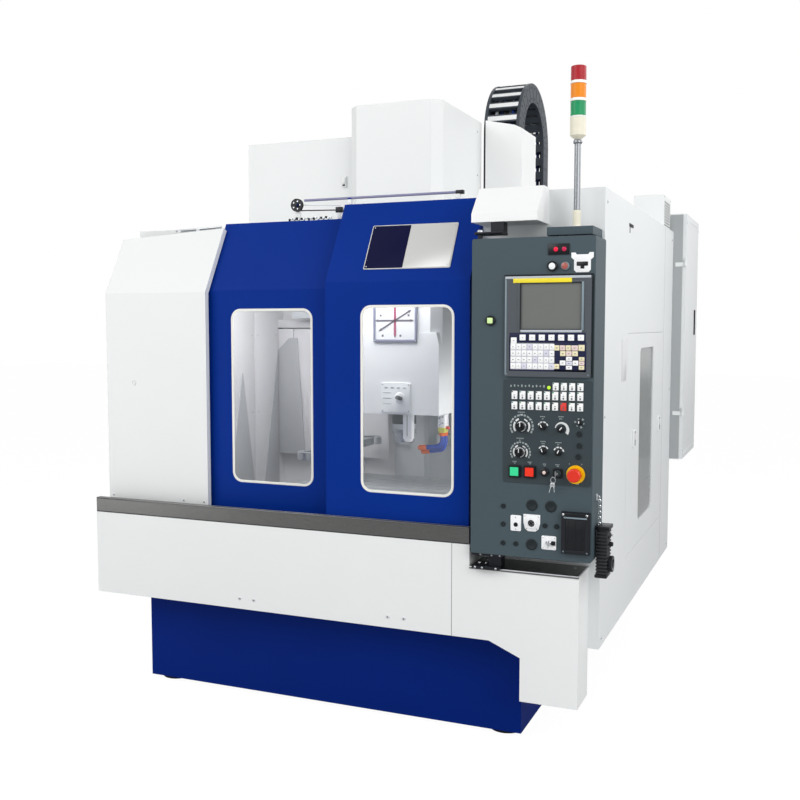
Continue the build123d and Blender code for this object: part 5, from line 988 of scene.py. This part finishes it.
for slat in range(1, chainValues["legSlats"]):
    barZ = chainValues["rise"] - slat * legPitch
    for side in (-1, 1):
        barY = chainValues["middle"] + side * (chainValues["outer"] - 3.2)
        addBlock(chain, (sideLeft + 20, barY - 2.6, barZ - 13), (sideRight - 20, barY + 2.6, barZ + 13), 0, edge=1.8)
        seamY = sorted((chainValues["middle"] + side * 203, chainValues["middle"] + side * 297))
        for edgeX in (sideLeft, sideRight):
            seamZ = barZ + legPitch / 2
            addBlock(chain, (edgeX - 0.7, seamY[0], seamZ - 1.2), (edgeX + 0.7, seamY[1], seamZ + 1.2), 1)
finishPiece(chain, "chainBarsAndSeams", "base", ["barNylon", "softRubber"])

cables = bmesh.new()
for line in range(7):
    cableX = 290 + line * 22
    radius = (254, 262, 246, 258, 242, 262, 250)[line]
    path = [(cableX, chainValues["middle"] - radius, z) for z in (2190, 2300, 2420, 2540)]
    path += [tuple(chainPlace(math.pi * step / 12, radius, cableX)) for step in range(13)]
    path += [(cableX, chainValues["middle"] + radius, z) for z in (2540, 2420, 2300, 2190)]
    addHose(cables, path, (7, 9, 6, 8, 6, 9, 7)[line], line % 3, 10)
finishPiece(cables, "chainCables", "base", ["cableBlack", "cableGrey", "cableBlue"])
print("tower and chain made")

# Head: the direction plate, a raised plate with a dark knob, screws, the nose flange and the coolant hoses
head = bmesh.new()
face = 600
plateFront = face - 9
addPlate(head, roundedOutline((-78, 146), (1573, 1800), 4), (plateFront - 3, face), 0,
         hole=roundedOutline((-67, 135), (1586, 1790), 2), edge=1)
addPlate(head, roundedOutline((-67, 135), (1586, 1790), 2), (plateFront, face), 1)
lineDepth = (plateFront - 1.2, plateFront + 0.4)
addBlock(head, (28, lineDepth[0], 1604), (40, lineDepth[1], 1780), 2)
addBlock(head, (-60, lineDepth[0], 1671), (126, lineDepth[1], 1680), 3)
addBlock(head, (-60, lineDepth[0], 1672), (128, lineDepth[1], 1680), 3,
         turn=Matrix.Rotation(math.radians(-31), 4, "Y"))
for dotX, dotZ in ((-40, 1700), (104, 1700), (-30, 1604), (62, 1604)):
    addBlock(head, (dotX - 5, lineDepth[0], dotZ - 5), (dotX + 5, lineDepth[1], dotZ + 5), 3, edge=0.4)
for tipX, tipZ, tipTurn in ((34, 1776, 0), (34, 1600, 180), (122, 1676, 90), (-62, 1676, -90), (112, 1722, 59),
                            (-44, 1629, -121)):
    arrow = bmesh.new()
    addPlate(arrow, [(-7, -9), (7, -9), (0, 9)], lineDepth, 0)
    swing = Matrix.Translation((tipX, 0, tipZ)) @ Matrix.Rotation(math.radians(tipTurn), 4, "Y")
    bmesh.ops.transform(arrow, matrix=swing, verts=arrow.verts)
    takeIn(head, arrow, 3)
addScrews(head, (-72, 140), [plateFront - 3], (1579, 1794), toFront, 3.4, 4, 5)
face = 596
# the raised plate takes the darker copy of the white: painted shade
addPlate(head, roundedOutline((-39, 113), (1237, 1381), 5), (face - 6, face), 6, edge=1.2)
addTurned(head, [(0, 9), (22, 9), (26, 7), (28, 6), (0, 6)], (59, face, 1308), toFront, 1, 32)
addBlock(head, (44, face - 26, 1300), (74, face - 8, 1317), 5, edge=3, turn=Matrix.Rotation(math.radians(18), 4, "Y"))
addTurned(head, [(0, 28), (7, 28), (8.5, 26), (8.5, 20), (0, 20)], (52, face, 1312), toFront, 7, 24)
addScrews(head, (-30, 104), [face - 6], (1246, 1372), toFront, 4, 4, 5)
for mark in range(4):
    addBlock(head, (-20 + mark * 32, face - 6.8, 1352), (-4 + mark * 32, face - 5.5, 1359), 8)
for mark in range(3):
    addBlock(head, (-28, face - 6.8, 1330 - mark * 26), (14, face - 5.5, 1333 - mark * 26), 8)
for screwZ in (2640, 2420, 2200, 1900, 1700, 1500):
    addScrew(head, (255, 1150, screwZ), toRight, 5.5, 4, 5)
    addScrew(head, (-215, 1150, screwZ), (-1, 0, 0), 5.5, 4, 5)
finishPiece(head, "headCoverDetails", "head",
            ["frameGrey", "directionWhite", "lineRed", "lineGrey", "zincPlate", "softRubber", "powderCoatPaintedShade",
             "screenPane", "seamShade"])

nose = bmesh.new()
addTurned(nose, [(54, 0), (60, 0), (62, 4), (62, 16), (57, 20), (54, 20), (54, 0)], (20, 740, 1126), upward, 0, 48)
addTurned(nose, [(56.2, 0), (60, 0), (60, 54), (56.2, 54), (56.2, 0)], (20, 740, 1172), upward, 1, 48)
for bolt in range(8):
    angle = math.tau * bolt / 8 + 0.2
    addScrew(nose, (20 + 60 * math.cos(angle), 740 + 60 * math.sin(angle), 1126), (0, 0, -1), 4, 1, 2)
finishPiece(nose, "noseFlange", "head", ["groundSteel", "blackOxide", "softRubber"])

coolantValues = {"block": ((204, 240), (718, 776), (1134, 1228)), "post": ((54, 100), (640, 676), (1092, 1228)),
                 "hoses": (((222, 733), ((223, 1092), (210, 1071), (182, 1063), (147, 1060))),
                           ((228, 760), ((228, 1086), (215, 1054), (188, 1045), (153, 1040))))}
coolant = bmesh.new()
blockX, blockY, blockZ = coolantValues["block"]
addBlock(coolant, (blockX[0], blockY[0], 1160), (blockX[1], blockY[1], blockZ[1]), 0, edge=2.5)
addBlock(coolant, (blockX[0] + 1, blockY[0] + 1, blockZ[0]), (blockX[1] - 1, blockY[1] - 1, 1162), 5, edge=2)
for plugZ in (1206, 1176):
    addRod(coolant, (213, blockY[0] + 1, plugZ), (213, blockY[0] - 4, plugZ), 5, 4, sides=6, edge=0.6)
    addRod(coolant, (230, blockY[0] + 1, plugZ + 6), (230, blockY[0] - 3, plugZ + 6), 4, 3, sides=16, edge=0.6)
addRod(coolant, (239, 742, 1158), (256, 742, 1158), 8, 6, sides=20, edge=1)
postX, postY, postZ = coolantValues["post"]
addBlock(coolant, (postX[0], postY[0], postZ[0] + 14), (postX[1], postY[1], postZ[1]), 0, edge=2)
addTurned(coolant, [(0, 0), (14, 0), (20, 5), (21, 12), (19, 18), (0, 18)], (77, 658, postZ[0]), upward, 0, 28)
addBlock(coolant, (74, 638.6, 1120), (79, 641, 1222), 7, edge=0.6)
for (hoseX, hoseY), bends in coolantValues["hoses"]:
    addTurned(coolant, [(0, 0), (13, 0), (14.4, 3), (14.4, 13), (11, 18), (0, 18)], (hoseX, hoseY, 1118), upward, 2, 24)
    path = [Vector((hoseX, hoseY, 1122))] + [Vector((bendX, hoseY, bendZ)) for bendX, bendZ in bends]
    for step in range(17):
        share = step / 16 * (len(path) - 1)
        start = min(int(share), len(path) - 2)
        before = path[max(start - 1, 0)]
        after = path[min(start + 2, len(path) - 1)]
        t = share - start
        here, there = path[start], path[start + 1]
        bend = 0.5 * ((2 * here) + (there - before) * t + (2 * before - 5 * here + 4 * there - after) * t * t
                      + (3 * here - before - 3 * there + after) * t ** 3)
        slope = 0.5 * ((there - before) + 2 * (2 * before - 5 * here + 4 * there - after) * t
                       + 3 * (3 * here - before - 3 * there + after) * t * t)
        addTurned(coolant, [(0, -8.4), (9, -8.4), (11.4, -4), (12.4, 2), (10, 6.8), (8.6, 8.4), (0, 8.4)],
                  bend, slope, 1, 18)
    last = (path[-1] - path[-2]).normalized()
    tip = path[-1] + last * 5
    addTurned(coolant, [(0, 0), (11.6, 0), (13, 3), (13, 30), (11.4, 40), (9, 44), (0, 44)], tip, last, 2, 24)
coolantPiece = finishPiece(coolant, "coolantHoses", "head",
                           ["socketWhite", "hoseBlue", "nozzleOrange", "groundSteel", "chromeBright", "fittingYellow",
                            "keycapRed", "seamShade"])
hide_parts("coolant_nozzles")
print("head pieces made")

# Inside the chamber: folded panels on the walls, a ledge, screws, guard sheets and the work lamp
chamber = bmesh.new()
for low, high in ((-946, -846), (-842, -640), (-636, -420), (-416, -262)):
    addBlock(chamber, (low, 1193, 925), (high, 1198.6, 1634), 0, edge=1.5)
for low, high in ((300, 520), (524, 760), (764, 994)):
    addBlock(chamber, (low, 1253, 640), (high, 1258.6, 2036), 0, edge=1.5)
for low, high in ((172, 330), (334, 640), (644, 930), (934, 1190)):
    addBlock(chamber, (-946.6, low, 640), (-941, high, 1990), 0, edge=1.5)
addScrews(chamber, [-941], (196, 300, 364, 610, 674, 900, 964, 1160), (760, 1180, 1600), toRight, 5, 1, 2)
addScrews(chamber, (-820, -662, -614, -442), [1193], (960, 1260, 1560), toFront, 5, 1, 2)
addBlock(chamber, (-942, 1186, 1640), (-262, 1194, 1684), 0, edge=2)
addBlock(chamber, (-800, 1100, 1690), (-560, 1190, 1730), 3, edge=4)
# grey guard sheets widen downward on the left wall and round the rear left corner; their grey is painted shade,
# standing in for the shaded face of an angled cover
addPlate(chamber, [(795, 1400), (803, 1400), (930, 700), (655, 700)], (-941, -937.5), 4, facing="x", edge=0.6)
addPlate(chamber, [(1184, 1519), (1000, 700), (1184, 700)], (-941, -937.5), 4, facing="x", edge=0.6)
addPlate(chamber, [(-937, 1519), (-870, 1583), (-818, 1583), (-772, 925), (-937, 925)], (1186, 1190), 4, edge=0.6)
finishPiece(chamber, "chamberPanels", "base",
            ["liningPaint", "zincPlate", "softRubber", "castingGrey", "guardPaintedShade"])

workLamp = bmesh.new()
addBlock(workLamp, (-60, 204, 1996), (420, 268, 2042), 0, edge=5)
addBlock(workLamp, (-44, 212, 1991), (404, 260, 1997), 1, edge=2)
addScrews(workLamp, (-52, 412), [236], [1996], (0, 0, -1), 4, 2)
finishPiece(workLamp, "workLamp", "base", ["powderCoatWhite", "lampDiffuser", "zincPlate"])

# Right side: hatch latches, a bare label, a slot and a seam; behind them magazine latches and cooler louvres
side = bmesh.new()
for latchY in (730, 1487):
    addPlate(side, roundedOutline((latchY - 15, latchY + 15), (1107, 1186), 5), (1135.2, 1145), 0, facing="x",
             hole=roundedOutline((latchY - 9, latchY + 9), (1114, 1179), 3), edge=1)
    addBlock(side, (1144, latchY - 9, 1114), (1145.2, latchY + 9, 1179), 1)
    addBlock(side, (1144.6, latchY - 6, 1140), (1150, latchY + 6, 1172), 0, edge=2)
addPlate(side, roundedOutline((418, 522), (1418, 1594), 4), (1135, 1136.4), 3, facing="x", edge=0.5)
addBlock(side, (1134.6, 545, 2072), (1137.4, 640, 2086), 2, edge=1)
addBlock(side, (1134.6, 556, 2046), (1136.2, 566, 2074), 2)
addScrews(side, [1135], (60, 1900), (430, 1300, 2120), toRight, 6, 4, 2)
addBlock(side, (1134.7, 1640, 400), (1135.6, 1643, 2168), 5)
finishPiece(side, "sideHatchFittings", "base",
            ["powderCoatWhite", "phenolicBlack", "softRubber", "labelBare", "zincPlate", "seamShade"])

rear = bmesh.new()
for latchZ in (2356, 2150):
    addBlock(rear, (-294, 690.5, latchZ - 27), (-268, 700, latchZ + 27), 0, edge=2)
    addBlock(rear, (-290, 684, latchZ - 8), (-272, 692, latchZ + 20), 0, edge=2)
    addBlock(rear, (-288, 689, latchZ - 20), (-274, 691.5, latchZ - 12), 1)
addBlock(rear, (-822, 704, 2570), (-244, 1236, 2572), 0, edge=0.6)
for louvre in range(9):
    louvreZ = 2192 + louvre * 15
    addBlock(rear, (1115.4, 1722, louvreZ), (1121, 1928, louvreZ + 7), 0, edge=1.6,
             turn=Matrix.Rotation(math.radians(24), 4, "Y"))
    addBlock(rear, (1115.2, 1722, louvreZ - 3), (1116.6, 1928, louvreZ + 2), 1)
addScrews(rear, [1116], (1710, 1940), (2184, 2336), toRight, 4.5, 2, 1)
addBlock(rear, (900, 1963.2, 905), (1186, 1964.6, 2265), 3)
finishPiece(rear, "magazineLatchesAndCoolerLouvres", "base",
            ["powderCoatWhite", "softRubber", "zincPlate", "seamShade"])

# Service covers, joint strips, pull handles and lifting eyes on the sides that the photo hides
serviceValues = {"leftFace": -1120, "rearFace": 1962, "cabinetLeft": -300, "columnTop": 2180, "plate": 2,
                 "screwInset": 16, "handleInset": 90, "handleHalf": (7, 60), "handleProud": 9}
service = bmesh.new()
serviceCovers = [("x", serviceValues["leftFace"], -1, (560, 1420), (930, 1840)),
                 ("y", serviceValues["rearFace"], 1, (-1050, -560), (930, 1840)),
                 ("x", serviceValues["cabinetLeft"], -1, (2060, 2480), (1080, 2100))]
for facing, face, outward, across, up in serviceCovers:
    top = face + outward * serviceValues["plate"]
    addPlate(service, roundedOutline(across, up, 12), sorted((face - outward * 0.5, top)), 0, facing=facing)
    normal = (outward, 0, 0) if facing == "x" else (0, outward, 0)
    middle = (sum(across) / 2, sum(up) / 2)
    inset = serviceValues["screwInset"]
    for screw in product((across[0] + inset, middle[0], across[1] - inset), (up[0] + inset, middle[1], up[1] - inset)):
        if screw != middle:
            addScrew(service, setDown(screw, top, facing), normal, 6, 1, 2)
    handleAcross, handleUp = serviceValues["handleHalf"]
    for handle in grown(across, -serviceValues["handleInset"]):
        ends = (setDown((handle - handleAcross, middle[1] - handleUp), top - outward * 0.5, facing),
                setDown((handle + handleAcross, middle[1] + handleUp), top + outward * serviceValues["handleProud"],
                        facing))
        addBlock(service, [min(pair) for pair in zip(*ends)], [max(pair) for pair in zip(*ends)], 3, edge=3)
for stripY in (480, 1500):
    stripFront = serviceValues["leftFace"] - 2
    addBlock(service, (stripFront, stripY - 18, 812), (stripFront + 2.5, stripY + 18, 2040), 0, edge=0.8)
    addScrews(service, [stripFront], [stripY], range(860, 2000, 190), (-1, 0, 0), 5, 1, 2)
addScrews(service, range(-1090, -340, 120), [serviceValues["rearFace"]], (838, 2018), (0, 1, 0), 5, 1, 2)
for eyeX, eyeY in ((-255, 1320), (235, 1320), (-255, 1900), (235, 1900)):
    addTurned(service, [(0, 0), (24, 0), (24, 8), (11, 12), (11, 20), (0, 20)],
              (eyeX, eyeY, serviceValues["columnTop"]), upward, 2, 24)
    addTurned(service, [(20, -7), (27, -5), (30, 0), (27, 5), (20, 7), (16, 0), (20, -7)],
              (eyeX, eyeY, serviceValues["columnTop"] + 44), toRight, 2, 28)
finishPiece(service, "serviceCoversAndEyes", "base", ["powderCoatWhite", "zincPlate", "blackOxide", "matBlack"])

doorTrim = bmesh.new()
for stripZ in (930, 2240):
    addBlock(doorTrim, (1203.6, 1990, stripZ - 4), (1205.4, 2540, stripZ + 4), 0, edge=0.8)
addScrews(doorTrim, [1204], (1985, 2545), (950, 2220), toRight, 5, 1)
finishPiece(doorTrim, "cabinetDoorTrim", "cabinet_door", ["powderCoatWhite", "zincPlate"])

# Saddle and chamber floor: rubber way wipers, a cover strip with its screws, and the folded floor sheets
ways = bmesh.new()
for side in (-1, 1):
    wiperX = 20 + side * 220
    for wiperY in (484, 991):
        addBlock(ways, (wiperX - 46, wiperY - 5, 642), (wiperX + 46, wiperY + 5, 690), 0, edge=2)
addBlock(ways, (-526, 486.6, 700), (566, 489.4, 732), 1, edge=1)
addScrews(ways, range(-480, 560, 130), [486.6], [716], toFront, 5, 1, 0)
finishPiece(ways, "saddleWipers", "saddle", ["softRubber", "zincPlate"])

chips = bmesh.new()
sheetLevel = 566
for (low, high), fold in product(((-946, -272), (300, 994)), range(4)):
    start = 40 + fold * 290
    addBlock(chips, (low, start, sheetLevel - 2), (high, start + 282, sheetLevel + 2 + fold * 0.5), 0, edge=1)
finishPiece(chips, "chamberFloorSheets", "base", ["brushedStainless"])
print("chamber, side and rear pieces made")

cameraValues = {"place": (1874, -3746, 1650), "pitch": 85.72, "yaw": 22.7, "lens": 44.5, "sensor": 36}
cameraData = bpy.data.cameras.new("photoCamera")
cameraData.lens = cameraValues["lens"]
cameraData.sensor_width = cameraValues["sensor"]
cameraData.clip_end = 100
camera = bpy.data.objects.new("photoCamera", cameraData)
camera.location = at(*cameraValues["place"])
camera.rotation_euler = (math.radians(cameraValues["pitch"]), 0, math.radians(cameraValues["yaw"]))
bpy.context.collection.objects.link(camera)
bpy.context.scene.camera = camera

# Soft studio: two broad lamps in front, a weaker one behind, one for the right side, a low one that the rail
# mirrors, and three small ones that stand in for the machine's own light in the chamber
lampValues = [
    {"name": "keyLamp", "place": (-2600, -4200, 4600), "aim": (0, 600, 1200), "size": 4.0, "power": 150},
    {"name": "fillLamp", "place": (4600, -2600, 3200), "aim": (300, 800, 1200), "size": 4.0, "power": 142},
    {"name": "backLamp", "place": (-600, 5200, 4600), "aim": (0, 900, 1500), "size": 3.5, "power": 60},
    {"name": "sideLamp", "place": (3000, 1500, 3300), "aim": (1135, 1100, 1500), "size": 2.4, "power": 28},
    {"name": "railLamp", "place": (-4600, -4400, 500), "aim": (-900, 0, 880), "size": 2.4, "power": 46},
    {"name": "chamberLampLeft", "place": (-520, 420, 1960), "aim": (-420, 700, 700), "size": 0.5, "power": 7.5},
    {"name": "chamberLampTop", "place": (60, 400, 1970), "aim": (60, 640, 1000), "size": 0.3, "power": 3},
    {"name": "chamberLampRear", "place": (760, 620, 1300), "aim": (430, 800, 800), "size": 0.4, "power": 3.5},
]
for lamp in lampValues:
    data = bpy.data.lights.new(lamp["name"], "AREA")
    data.size = lamp["size"]
    data.energy = lamp["power"]
    lampObject = bpy.data.objects.new(lamp["name"], data)
    lampObject.location = at(*lamp["place"])
    aim = at(*lamp["aim"]) - lampObject.location
    lampObject.rotation_euler = aim.to_track_quat("-Z", "Y").to_euler()
    bpy.context.collection.objects.link(lampObject)

world = bpy.data.worlds.new("studioWorld")
bpy.context.scene.world = world
world.use_nodes = True
skyTree = world.node_tree
skyTree.nodes.clear()
path = addNode(skyTree, "ShaderNodeLightPath")
mirrored = addNode(skyTree, "ShaderNodeMath", {"operation": "MAXIMUM"})
skyTree.links.new(path.outputs["Is Glossy Ray"], mirrored.inputs[0])
skyTree.links.new(path.outputs["Is Transmission Ray"], mirrored.inputs[1])
seen = addNode(skyTree, "ShaderNodeMath", {"operation": "MAXIMUM"})
skyTree.links.new(path.outputs["Is Camera Ray"], seen.inputs[0])
skyTree.links.new(mirrored.outputs[0], seen.inputs[1])
level = addNode(skyTree, "ShaderNodeMapRange", {"To Min": 0.42, "To Max": 1.0}, {"Value": seen.outputs[0]})
sky = addNode(skyTree, "ShaderNodeBackground", {"Color": (1, 1, 1, 1)}, {"Strength": level.outputs["Result"]})
addNode(skyTree, "ShaderNodeOutputWorld", None, {"Surface": sky.outputs["Background"]})

floorMaterial = bpy.data.materials.new("paleFloor")
floorMaterial.use_nodes = True
floorTree = floorMaterial.node_tree
floorTree.nodes.clear()
floorPaint = addNode(floorTree, "ShaderNodeBsdfDiffuse", {"Color": hexColour("#d2d2d2")})
floorLight = addNode(floorTree, "ShaderNodeEmission", {"Color": (1, 1, 1, 1), "Strength": 1.09})
floorPath = addNode(floorTree, "ShaderNodeLightPath")
floorShare = addNode(floorTree, "ShaderNodeMapRange", {"To Min": 0.0, "To Max": 0.88},
                     {"Value": floorPath.outputs["Is Camera Ray"]})
floorMix = addNode(floorTree, "ShaderNodeMixShader", None, {0: floorShare.outputs["Result"]})
floorTree.links.new(floorPaint.outputs["BSDF"], floorMix.inputs[1])
floorTree.links.new(floorLight.outputs["Emission"], floorMix.inputs[2])
addNode(floorTree, "ShaderNodeOutputMaterial", None, {"Surface": floorMix.outputs["Shader"]})
floorMesh = bmesh.new()
bmesh.ops.create_grid(floorMesh, x_segments=1, y_segments=1, size=30)
floorData = bpy.data.meshes.new("studioFloor")
floorMesh.to_mesh(floorData)
floorMesh.free()
floorData.materials.append(floorMaterial)
floor = bpy.data.objects.new("studioFloor", floorData)
bpy.context.collection.objects.link(floor)
bpy.context.scene.view_settings.view_transform = "Standard"
print("camera, lamps and floor set")
